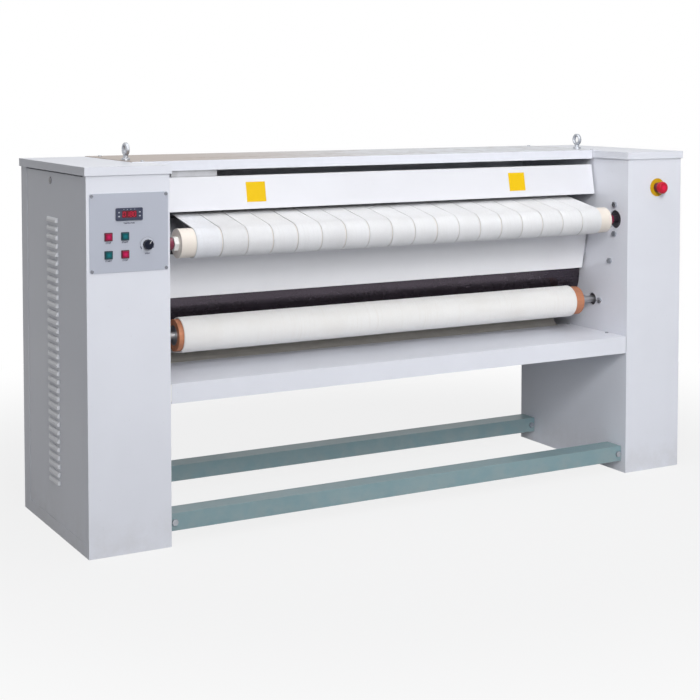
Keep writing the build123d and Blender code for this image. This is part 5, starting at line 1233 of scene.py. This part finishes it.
@dataclass
class Band:
    """Cloth band on a tangent loop: a rounded section carried along the path.

    The section is a flat strip whose long edges are half circles. A point of the mesh is the
    path's point, plus the normal times the section's height, plus X times the section's place
    across. Slow sines of both coordinates lift it a little.

    Attributes:
        loop: its path, at the band's inner face.
        middle: X of its centreline.
        width: its width.
        thickness: its thickness.
        across: samples across each face.
        lift: height of the waves.
        sway: sideways drift of the edges.
        seed: chooses the waves.
        hem: height of a stitched ridge along each edge.
    """

    EDGE_POINTS: ClassVar[int] = 5
    WAVES: ClassVar[tuple[tuple[int, float], ...]] = ((2, 0.7), (3, 1.1), (5, 1.9))
    INNER_SHARE: ClassVar[float] = 0.3
    HEM_IN: ClassVar[float] = 0.012
    HEM_WIDTH: ClassVar[float] = 0.0016
    SWINGS: ClassVar[int] = 2

    loop: TangentLoop
    middle: float
    width: float
    thickness: float
    across: int = 9
    lift: float = 0.0002
    sway: float = 0.0003
    seed: int = 0
    hem: float = 0.0

    def section(self) -> tuple[np.ndarray, np.ndarray]:
        """Points round the section.

        Returns:
            Their place across the band and their height over its inner face.
        """
        half = self.thickness / 2
        flat = np.linspace(-1, 1, self.across) * (self.width / 2 - half)
        turn = np.linspace(-QUARTER, QUARTER, self.EDGE_POINTS)[1:-1]
        right = np.stack([flat[-1] + half * np.cos(turn), half - half * np.sin(turn)], -1)
        left = np.stack([flat[0] - half * np.cos(turn), half + half * np.sin(turn)], -1)
        top = np.stack([flat, np.full(self.across, self.thickness)], -1)
        bottom = np.stack([flat[::-1], np.zeros(self.across)], -1)
        place, height = np.vstack([top, right, bottom, left]).T
        return place, height

    def grid(self, points: np.ndarray, normals: np.ndarray, length: np.ndarray) -> np.ndarray:
        """Carry the section along the path.

        A wave is the sine of a whole number of turns along the loop times the cosine of a share
        of a turn across it. The hem is a bell curve of the distance from its line.

        Args:
            points: the path.
            normals: its normals.
            length: length along it at each point.

        Returns:
            Array of sections, points a section, three coordinates.
        """
        place, height = self.section()
        outer = height / self.thickness
        along = length[:-1] / length[-1] * 2 * math.pi
        draw = np.random.default_rng(self.seed)
        s, u = along[:, None], (place / self.width * 2 * math.pi)[None, :]
        wave = np.zeros((len(along), len(place)))
        for turns, shift in self.WAVES:
            phase = draw.uniform(0, FULL_TURN, 2)
            wave += np.sin(turns * s + phase[0]) * np.cos(shift * u + phase[1]) / turns
        inward = np.abs(place) - self.width / 2 + self.HEM_IN
        ridge = np.exp(-((inward / self.HEM_WIDTH) ** 2)) * self.hem * outer
        swing = self.sway * np.sin(along * self.SWINGS + draw.uniform(0, FULL_TURN))
        share = self.INNER_SHARE + (1 - self.INNER_SHARE) * outer
        rise = height[None, :] + self.lift * wave * share[None, :] + ridge[None, :]
        grid = np.empty((len(along), len(place), 3))
        grid[:, :, 0] = self.middle + place[None, :] + swing[:, None]
        grid[:, :, 1:] = points[:, None, :] + normals[:, None, :] * rise[:, :, None]
        return grid

    def build(self, name: str, material: bpy.types.Material) -> tuple[bpy.types.Object, float]:
        """Make the band, with a cloth map of the place across and the length along.

        Args:
            name: the piece's name.
            material: its cloth.

        Returns:
            The object and the length of its loop.
        """
        points, normals, length = self.loop.sample()
        grid = self.grid(points, normals, length)
        place = self.section()[0]
        rows, columns = grid.shape[:2]
        i, j = np.meshgrid(np.arange(rows), np.arange(columns), indexing="ij")
        here, down, side = i * columns, (i + 1) % rows * columns, (j + 1) % columns
        faces = np.stack([here + j, down + j, down + side, here + side], -1).reshape(-1, 4)
        vertices = grid.reshape(-1, 3)
        turned = outward(vertices, faces)
        corner_u = np.stack([place[j], place[j], place[side], place[side]], -1).reshape(-1, 4)
        corner_s = np.stack([length[i], length[i + 1], length[i + 1], length[i]], -1).reshape(-1, 4)
        if turned is not faces:
            corner_u, corner_s = corner_u[:, ::-1], corner_s[:, ::-1]
        piece = new_object(name, (vertices, turned.tolist()), material)
        layer = piece.data.uv_layers.new(name=CLOTH_MAP)
        layer.data.foreach_set("uv", np.stack([corner_u, corner_s], -1).ravel().astype(np.float32))
        return piece, float(length[-1])


def stand_for(piece: bpy.types.Object, node: str) -> None:
    """Hang a cloth piece on the fixed body in place of a node of the frame, and hide the node.

    Args:
        piece: the cloth piece.
        node: the node that it stands for.
    """
    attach(piece, FIXED_BODY)
    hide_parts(node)


@dataclass
class FeedBelts:
    """The narrow cotton belts that carry linen from the front to the drum.

    Attributes:
        count: belts side by side.
        space: free space between two belts.
        frame_space: the same on the frame's belts.
        seat: clearance of a belt's inner face from its rollers.
        thickness: thickness of the cotton.
        threads: threads a metre.
        thread_depth: height of the threads.
        dark_edge: width of the darker strip along each edge of a belt.
        nap: height of the fibres that stand out.
        white: the newest belt's cotton, at the left end.
        used: the cotton of the others.
        soil: their soiled parts.
        shades: how much lighter or darker than that a belt can be.
        stride: how many shades on the next belt's is.
        rollers: what the belts run round.
    """

    count: int = 18
    space: float = 0.0019
    frame_space: float = 0.001
    seat: float = 0.0004
    thickness: float = 0.0026
    threads: float = 1150.0
    thread_depth: float = 0.00016
    dark_edge: float = 0.003
    nap: float = 0.00006
    white: Colour = (0.80, 0.815, 0.86)
    used: Colour = (0.775, 0.78, 0.80)
    soil: Colour = (0.60, 0.595, 0.60)
    shades: tuple[float, ...] = (1.0, 0.975, 1.01, 0.99, 1.015, 0.98)
    stride: int = 5
    rollers: tuple[str, ...] = ("feed_roller", "rear_feed_roller")

    def cloths(self, width: float) -> list[bpy.types.Material]:
        """Build every cotton.

        Args:
            width: a belt's width.

        Returns:
            The newest belt's cotton, then the others' in the order of their shades.
        """
        tones = [self.white, *(toned(self.used, shade) for shade in self.shades)]
        look = (self.soil, self.threads, self.thread_depth, width / 2, self.dark_edge, self.nap)
        return [Cloth(f"belt_cotton_{k}", tone, *look).build() for k, tone in enumerate(tones)]

    def build(self) -> None:
        """Make the belts and let them stand for the frame's."""
        low, high = corners_of("feed_belts")
        pitch = (high[0] - low[0] + self.frame_space) / self.count
        width = pitch - self.space
        loop = TangentLoop([Turn(axis_of(name), radius_of(name) + self.seat) for name in self.rollers])
        newest, *others = self.cloths(width)
        for index in range(self.count):
            middle = low[0] - self.frame_space / 2 + (index + 0.5) * pitch
            band = Band(loop, middle, width, self.thickness, seed=index + 1)
            cloth = others[index * self.stride % len(others)] if index else newest
            piece, length = band.build(f"feed_belt_{index + 1:02d}", cloth)
            stand_for(piece, "feed_belts")
        LOG.info("feed belts: %d, %.3f m long", self.count, length)


@dataclass
class IroningBlanket:
    """Needle felt that presses the linen against the drum.

    Attributes:
        seat: clearance of the felt from its rollers.
        trim: how much narrower it is than the frame's blanket.
        thickness: thickness of the felt.
        stitches: stitches a metre.
        stitch_depth: depth of a stitch.
        dark_edge: width of the darker strips along its edges.
        nap: height of the fibres that stand out.
        colour: the felt.
        soil: its yellowed patches.
        soil_share: how much of that shows.
        across: samples across its width.
        lift: height of its waves.
        sway: sideways drift of its edges.
        seed: chooses the waves.
        hem: height of its hem.
        arc_step: largest angle between samples on an arc.
        run_step: largest distance between samples on a straight run.
    """

    seat: float = 0.0004
    trim: float = 0.002
    thickness: float = 0.0048
    stitches: float = 620.0
    stitch_depth: float = 0.0002
    dark_edge: float = 0.006
    nap: float = 0.00022
    colour: Colour = (0.87, 0.865, 0.855)
    soil: Colour = (0.72, 0.68, 0.63)
    soil_share: float = 0.3
    across: int = 61
    lift: float = 0.00035
    sway: float = 0.0008
    seed: int = 7
    hem: float = 0.0004
    arc_step: float = math.radians(4)
    run_step: float = 0.009

    def loop(self) -> TangentLoop:
        """Path over the upper guide, in round the drum, and back below.

        Returns:
            The felt's path.
        """
        drum = Turn(axis_of("drum"), radius_of("drum") + self.seat + self.thickness, -1)
        upper, lower, back = (
            Turn(axis_of(name), radius_of(name) + self.seat)
            for name in ("upper_guide_roller", "lower_roller", "lower_guide_roller")
        )
        return TangentLoop([upper, drum, lower, back], self.arc_step, self.run_step)

    def build(self) -> None:
        """Make the blanket and let it stand for the frame's."""
        low, high = corners_of("ironing_blanket")
        width = float(high[0] - low[0]) - self.trim
        look = (self.stitches, self.stitch_depth, width / 2, self.dark_edge, self.nap, self.soil_share)
        cloth = Cloth("blanket_felt", self.colour, self.soil, *look).build()
        size = (float(low[0] + high[0]) / 2, width, self.thickness)
        band = Band(self.loop(), *size, self.across, self.lift, self.sway, self.seed, self.hem)
        piece, length = band.build("ironing_felt", cloth)
        stand_for(piece, "ironing_blanket")
        LOG.info("ironing blanket: %.3f m round", length)


# ---------------------------------------------------------------- printed and small details
@dataclass(frozen=True)
class Lettering:
    """Plain lettering in Blender's own font, as thin solids.

    Attributes:
        half: half the thickness of the letters.
        ahead: how far their middle stands in front of the face.
        bold: how much each stroke is widened, as a share of the font's height.
        detail: points on each curve.
    """

    half: float = 0.05 * MM
    ahead: float = 0.02 * MM
    bold: float = 0.035
    detail: int = 3

    def shape(self, words: str, size: float, centre: np.ndarray) -> Shape:
        """Letters on a face that looks towards -Y.

        Args:
            words: what they say.
            size: height of the font.
            centre: middle of the lettering on the face.

        Returns:
            Vertices and faces of the letters.
        """
        curve = bpy.data.curves.new("letters", "FONT")
        curve.body = words
        curve.size = size
        curve.extrude = self.half
        curve.offset = self.bold * size
        curve.resolution_u = self.detail
        curve.align_x = "CENTER"
        curve.align_y = "CENTER"
        holder = bpy.data.objects.new("letters", curve)
        bpy.context.scene.collection.objects.link(holder)
        bpy.context.view_layer.update()
        mesh = bpy.data.meshes.new_from_object(holder.evaluated_get(bpy.context.evaluated_depsgraph_get()))
        flat = np.zeros(len(mesh.vertices) * 3)
        mesh.vertices.foreach_get("co", flat)
        x, up, out = flat.reshape(-1, 3).T
        faces = [list(face.vertices) for face in mesh.polygons]
        bpy.data.objects.remove(holder)
        bpy.data.curves.remove(curve)
        bpy.data.meshes.remove(mesh)
        return np.stack([centre[0] + x, centre[1] - out - self.ahead, centre[2] + up], -1), faces


def add_detail(
    name: str,
    shape: Shape,
    material: bpy.types.Material,
    body: str = FIXED_BODY,
) -> None:
    """Make a small detail from a shape and let it ride on a body.

    Args:
        name: the piece's name.
        shape: vertices and faces.
        material: its finish.
        body: the body that it rides on.
    """
    piece = new_object(name, shape, material)
    piece.data.shade_flat()
    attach(piece, body)


@dataclass(frozen=True)
class Pads:
    """Equal soft-edged pads on the display's bezel.

    Attributes:
        size: width and height of a pad.
        corner: radius of its corners.
        proud: how far it stands out.
        soft: size of its softened edge.
        places: (x, z) of each from the middle of the display, in millimetres.
    """

    size: Pair
    corner: float
    proud: float
    soft: float
    places: tuple[Pair, ...]

    def shape(self, bezel: np.ndarray) -> Shape:
        """All the pads as one shape.

        Args:
            bezel: middle of the bezel's front.

        Returns:
            Vertices and faces.
        """
        outline = rounded_outline(*self.size, self.corner)
        spots = [bezel + np.array([x * MM, 0, z * MM]) for x, z in self.places]
        return joined([raised(outline, spot, self.proud, self.soft) for spot in spots])


@dataclass
class TemperatureDisplay:
    """Lit digits, lamps and keys of the temperature display.

    Attributes:
        reading: the digits shown.
        digit: width and height of a digit.
        pitch: from one digit to the next.
        stroke: width of a lit segment.
        gap: free space at each end of a segment.
        proud: how far a segment stands in front of the window.
        soft: size of its softened edge.
        lean: sideways lean of the digits.
        keys: the keys.
        lamps: the small lamps.
        glow: the lit segments.
        pale: keys and lamps.
    """

    reading: str = "0180"
    digit: Pair = (6.6 * MM, 12.4 * MM)
    pitch: float = 9.9 * MM
    stroke: float = 2.1 * MM
    gap: float = 0.35 * MM
    proud: float = 0.12 * MM
    soft: float = 0.04 * MM
    lean: float = math.tan(math.radians(5))
    keys: Pads = Pads(
        size=(5.2 * MM, 3.6 * MM),
        corner=1.4 * MM,
        proud=0.7 * MM,
        soft=0.5 * MM,
        places=((-30.0, 5.2), (-30.0, -5.4), (30.0, 5.2), (30.0, -5.4)),
    )
    lamps: Pads = Pads(
        size=(2.6 * MM, 2.2 * MM),
        corner=1.0 * MM,
        proud=0.35 * MM,
        soft=0.3 * MM,
        places=((-16.0, 13.2), (-6.0, 13.2), (4.0, 13.2), (15.0, 13.2)),
    )
    glow: Finish = Plastic("digit_glow", (0.40, 0.003, 0.03), rough=0.3, glow=0.28, gloss=0.2)
    pale: Finish = Plastic("key_pale", (0.36, 0.38, 0.44), rough=0.45)

    def segment(self, start: Pair, end: Pair) -> np.ndarray:
        """Six-sided outline of one segment, pointed at both ends.

        Args:
            start: one end.
            end: the other end.

        Returns:
            Its corners as (x, z).
        """
        a, b = np.array(start), np.array(end)
        along = (b - a) / np.hypot(*(b - a))
        aside = np.array([-along[1], along[0]]) * self.stroke / 2
        a, b = a + along * self.gap, b - along * self.gap
        tip = along * self.stroke / 2
        return np.array([a, a + tip - aside, b - tip - aside, b, b - tip + aside, a + tip + aside])

    def digits(self, face: np.ndarray) -> Shape:
        """The lit segments of the reading.

        Args:
            face: middle of the window's front.

        Returns:
            Vertices and faces.
        """
        w, h = self.digit[0] / 2, self.digit[1] / 2
        ends = {
            "top": ((-w, h), (w, h)),
            "upper_right": ((w, h), (w, 0)),
            "lower_right": ((w, 0), (w, -h)),
            "bottom": ((-w, -h), (w, -h)),
            "lower_left": ((-w, 0), (-w, -h)),
            "upper_left": ((-w, h), (-w, 0)),
            "middle": ((-w, 0), (w, 0)),
        }
        lit = {
            "0": [name for name in ends if name != "middle"],
            "1": ["upper_right", "lower_right"],
            "8": list(ends),
        }
        parts = []
        for index, figure in enumerate(self.reading):
            x = (index - (len(self.reading) - 1) / 2) * self.pitch
            for name in lit[figure]:
                outline = self.segment(*ends[name])
                outline[:, 0] += x + outline[:, 1] * self.lean
                parts.append(raised(outline, face, self.proud, self.soft))
        return joined(parts)

    def build(self) -> None:
        """Make digits, keys and lamps."""
        window = front_of("display_window")
        bezel = np.array([window[0], front_of("temperature_display")[1], window[2]])
        glowing, pale = self.glow.build(), self.pale.build()
        add_detail("display_digits", self.digits(window), glowing)
        add_detail("display_keys", self.keys.shape(bezel), pale)
        add_detail("display_lamps", self.lamps.shape(bezel), pale)
        LOG.info("temperature display: %s", self.reading)


@dataclass(frozen=True)
class Legend:
    """Printed word under a control.

    Attributes:
        node: the control.
        words: what it says.
        letter: height of the font.
        below: from the control's middle to the middle of the word.
    """

    node: str
    words: str
    letter: float = 6.3 * MM
    below: float = 16.6 * MM


@dataclass
class ControlPrint:
    """Printed words of the control plate and the arc round the dial.

    The arc is thin, with a thick first part and a last part twice as wide.

    Attributes:
        radius: radius of the printed arc.
        width: width of its thin part.
        ends: its first and last angle, clockwise from straight up.
        thick: width of its first part.
        thick_end: where the first part ends.
        tail: angle of its last part.
        proud: thickness of its ink.
        letters: how the words are lettered.
        ink: the print's finish.
        legends: the words.
    """

    radius: float = 20.4 * MM
    width: float = 0.7 * MM
    ends: Pair = (math.radians(-128), math.radians(124))
    thick: float = 2.4 * MM
    thick_end: float = math.radians(-104)
    tail: float = math.radians(14)
    proud: float = 0.1 * MM
    letters: Lettering = Lettering()
    ink: Finish = Plastic("printed_ink", (0.022, 0.024, 0.055), rough=0.5, depth=0.000005)
    legends: tuple[Legend, ...] = (
        Legend("stop_button_upper", "STOP"),
        Legend("start_button_upper", "START"),
        Legend("start_button_lower", "START"),
        Legend("stop_button_lower", "STOP"),
        Legend("display_window", "TEMPERATURE", 5.0 * MM, 25.0 * MM),
        Legend("speed_knob", "SPEED", 5.4 * MM, 25.5 * MM),
    )

    def words(self) -> Shape:
        """Every word, on the front of the control plate.

        Returns:
            Vertices and faces.
        """
        plate = front_of("control_plate")[1]
        parts = []
        for legend in self.legends:
            x, _, z = middle_of(legend.node)
            place = np.array([x, plate, z - legend.below])
            parts.append(self.letters.shape(legend.words, legend.letter, place))
        return joined(parts)

    def arc(self) -> Shape:
        """Its three parts, on the front of the dial.

        Returns:
            Vertices and faces.
        """
        hub = front_of("dial_ring")
        start, end = self.ends
        parts = []
        for width, first, last in (
            (self.thick, start, self.thick_end),
            (self.width, self.thick_end, end - self.tail),
            (self.width * 2, end - self.tail, end),
        ):
            radii = (self.radius - width / 2, self.radius + width / 2)
            parts.append(arc_band(hub, radii, (first, last), self.proud))
        return joined(parts)

    def build(self) -> None:
        """Make the print."""
        ink = self.ink.build()
        add_detail("printed_words", self.words(), ink)
        add_detail("dial_arc", self.arc(), ink)
        LOG.info("control print: %d words", len(self.legends))


@dataclass
class KnobPointer:
    """White line in the groove of the speed knob.

    Attributes:
        angle: where the line points at rest, clockwise from straight up.
        width: its width.
        corner: radius of its corners.
        length: its length as a share of the knob's radius.
        out: its middle as a share of that radius.
        floor: depth of the groove behind the knob's front.
        proud: thickness of the line.
        soft: size of its softened edge.
        white: its finish.
    """

    angle: float = math.radians(30)
    width: float = 1.5 * MM
    corner: float = 0.5 * MM
    length: float = 0.6
    out: float = 0.56
    floor: float = 0.6 * MM
    proud: float = 0.45 * MM
    soft: float = 0.15 * MM
    white: Finish = Plastic("pointer_white", (0.85, 0.85, 0.86), rough=0.4)

    def build(self) -> None:
        """Make the line; it rides on the knob."""
        low, high = corners_of("speed_knob")
        radius = float(high[0] - low[0]) / 2
        outline = rounded_outline(self.width, radius * self.length, self.corner)
        along = np.array([math.sin(self.angle), math.cos(self.angle)])
        turn = np.array([[along[1], -along[0]], along])
        out = along * radius * self.out
        place = front_of("speed_knob") + np.array([out[0], self.floor, out[1]])
        shape = raised(outline @ turn, place, self.proud, self.soft)
        add_detail("knob_pointer", shape, self.white.build(), body="speed_knob")
        LOG.info("knob pointer")


# ---------------------------------------------------------------- stage, light and camera
def sees_backdrop(graph: Graph) -> Socket:
    """Which rays see the backdrop as plain white: those from the camera, off metal, through glass.

    Args:
        graph: the graph of the floor or the world.

    Returns:
        1 for these rays, 0 for the others.
    """
    ray = graph.add("LightPath").outputs
    direct = graph.calc("MAXIMUM", ray["Is Camera Ray"], ray["Is Glossy Ray"])
    return graph.calc("MAXIMUM", direct, ray["Is Transmission Ray"])


@dataclass(frozen=True)
class Lamp:
    """One square soft light, aimed at a point.

    Attributes:
        place: where it hangs.
        aim: the point it looks at.
        size: its side.
        power: its power.
        beam: full angle of its beam.
    """

    place: Triple
    aim: Triple
    size: float
    power: float
    beam: float = math.pi

    def hang(self, name: str) -> None:
        """Put the light into the scene.

        Args:
            name: its name.
        """
        light = bpy.data.lights.new(name, "AREA")
        light.size = self.size
        light.energy = self.power
        light.spread = self.beam
        holder = bpy.data.objects.new(name, light)
        holder.location = self.place
        holder.rotation_euler = (Vector(self.aim) - Vector(self.place)).to_track_quat("-Z", "Y").to_euler()
        bpy.context.scene.collection.objects.link(holder)


@dataclass
class Studio:
    """Plain pale floor, soft light and surrounding light.

    Attributes:
        floor_size: side of the floor.
        floor_under: how far it lies below the object's feet.
        floor_tone: colour of the floor.
        near_white: how white the camera sees the floor near the object.
        fade: distances between which that grows to white.
        ambient: strength of the surrounding light from ahead and from behind.
        ambient_span: how far back, of -1 to 1, it is strongest and weakest.
        ambient_tone: its colour.
        key: the main soft light.
        top: a weaker one from above.
        fill: a small one that reaches the right cabinet's inner wall.
    """

    WHITE: ClassVar[Colour] = (1.0, 1.0, 1.0)

    floor_size: float = 60.0
    floor_under: float = 0.0004
    floor_tone: Colour = (0.42, 0.425, 0.44)
    near_white: float = 0.84
    fade: Pair = (1.1, 2.6)
    ambient: Pair = (0.38, 0.05)
    ambient_span: Pair = (-1.0, 0.2)
    ambient_tone: Colour = (0.955, 0.97, 1.0)
    key: Lamp = Lamp((-1.3, -5.2, 2.9), (0.0, 0.0, 0.6), 2.4, 166.0)
    top: Lamp = Lamp((-0.4, -0.7, 3.8), (-0.2, 0.0, 0.6), 3.0, 58.0)
    fill: Lamp = Lamp((-1.0, -3.3, 2.5), (0.82, -0.1, 0.8), 0.8, 4.1, math.radians(56))

    def floor(self) -> None:
        """Lay the floor; far from the object the camera sees it as white."""
        material = bpy.data.materials.new("studio_floor")
        material.use_nodes = True
        material.node_tree.nodes.clear()
        graph = Graph(material.node_tree)
        place = graph.add("TexCoord").outputs["Object"]
        distance = graph.add("VectorMath", place, operation="LENGTH").outputs["Value"]
        far = graph.spread(distance, self.fade, (self.near_white, 1.0))
        share = graph.calc("MULTIPLY", far, sees_backdrop(graph))
        lit = graph.add("BsdfDiffuse", self.floor_tone).outputs[0]
        white = graph.add("Emission", self.WHITE, 1.0).outputs[0]
        graph.add("OutputMaterial", graph.add("MixShader", share, lit, white).outputs[0])
        half, under = self.floor_size / 2, -self.floor_under
        sides = ((-half, -half), (half, -half), (half, half), (-half, half))
        corners = np.array([[x, y, under] for x, y in sides])
        new_object("floor", (corners, [[0, 1, 2, 3]]), material)

    def world(self) -> None:
        """Surrounding light, stronger from ahead, that the camera, metal and glass see as white."""
        world = bpy.data.worlds.new("studio")
        bpy.context.scene.world = world
        world.use_nodes = True
        world.node_tree.nodes.clear()
        graph = Graph(world.node_tree)
        heading = graph.add("SeparateXYZ", graph.add("TexCoord").outputs["Generated"]).outputs[1]
        strength = graph.spread(heading, self.ambient_span, self.ambient)
        soft = graph.add("Background", self.ambient_tone, strength).outputs[0]
        white = graph.add("Background", self.WHITE, 1.0).outputs[0]
        graph.add("OutputWorld", graph.add("MixShader", sees_backdrop(graph), soft, white).outputs[0])

    def build(self) -> None:
        """Set floor, world and lights."""
        self.floor()
        self.world()
        for name, lamp in (("key", self.key), ("top", self.top), ("fill", self.fill)):
            lamp.hang(name)
        bpy.context.scene.view_settings.view_transform = "Standard"
        LOG.info("studio")


@dataclass
class Viewpoint:
    """The camera: a long lens at standing height, almost level, its frame shifted down.

    Attributes:
        place: where it stands.
        lens: focal length.
        sensor: width of the sensor, in the lens's unit.
        shift: vertical shift of the frame.
        down: its tilt below level.
        turn: its heading, clockwise from +Y.
        reach: how far it sees.
    """

    place: Triple = (-2.3530, -4.0920, 1.2888)
    lens: float = 75.717
    sensor: float = 36.0
    shift: float = -0.2651
    down: float = math.radians(3.0)
    turn: float = math.radians(29.157)
    reach: float = 200.0

    def build(self) -> None:
        """Create the camera and make it the scene's."""
        camera = bpy.data.cameras.new("viewpoint")
        camera.lens = self.lens
        camera.sensor_width = self.sensor
        camera.shift_y = self.shift
        camera.clip_end = self.reach
        holder = bpy.data.objects.new("viewpoint", camera)
        holder.location = self.place
        holder.rotation_euler = (QUARTER - self.down, 0.0, -self.turn)
        bpy.context.scene.collection.objects.link(holder)
        bpy.context.scene.camera = holder
        LOG.info("camera")


def main() -> None:
    """Build the scene in order."""
    logging.basicConfig(level=logging.INFO, format="%(name)s: %(message)s")
    Viewpoint().build()
    Studio().build()
    dress_frame()
    for sub_assembly in (FeedBelts(), IroningBlanket(), TemperatureDisplay(), ControlPrint(), KnobPointer()):
        sub_assembly.build()


if __name__ == "__main__":
    main()
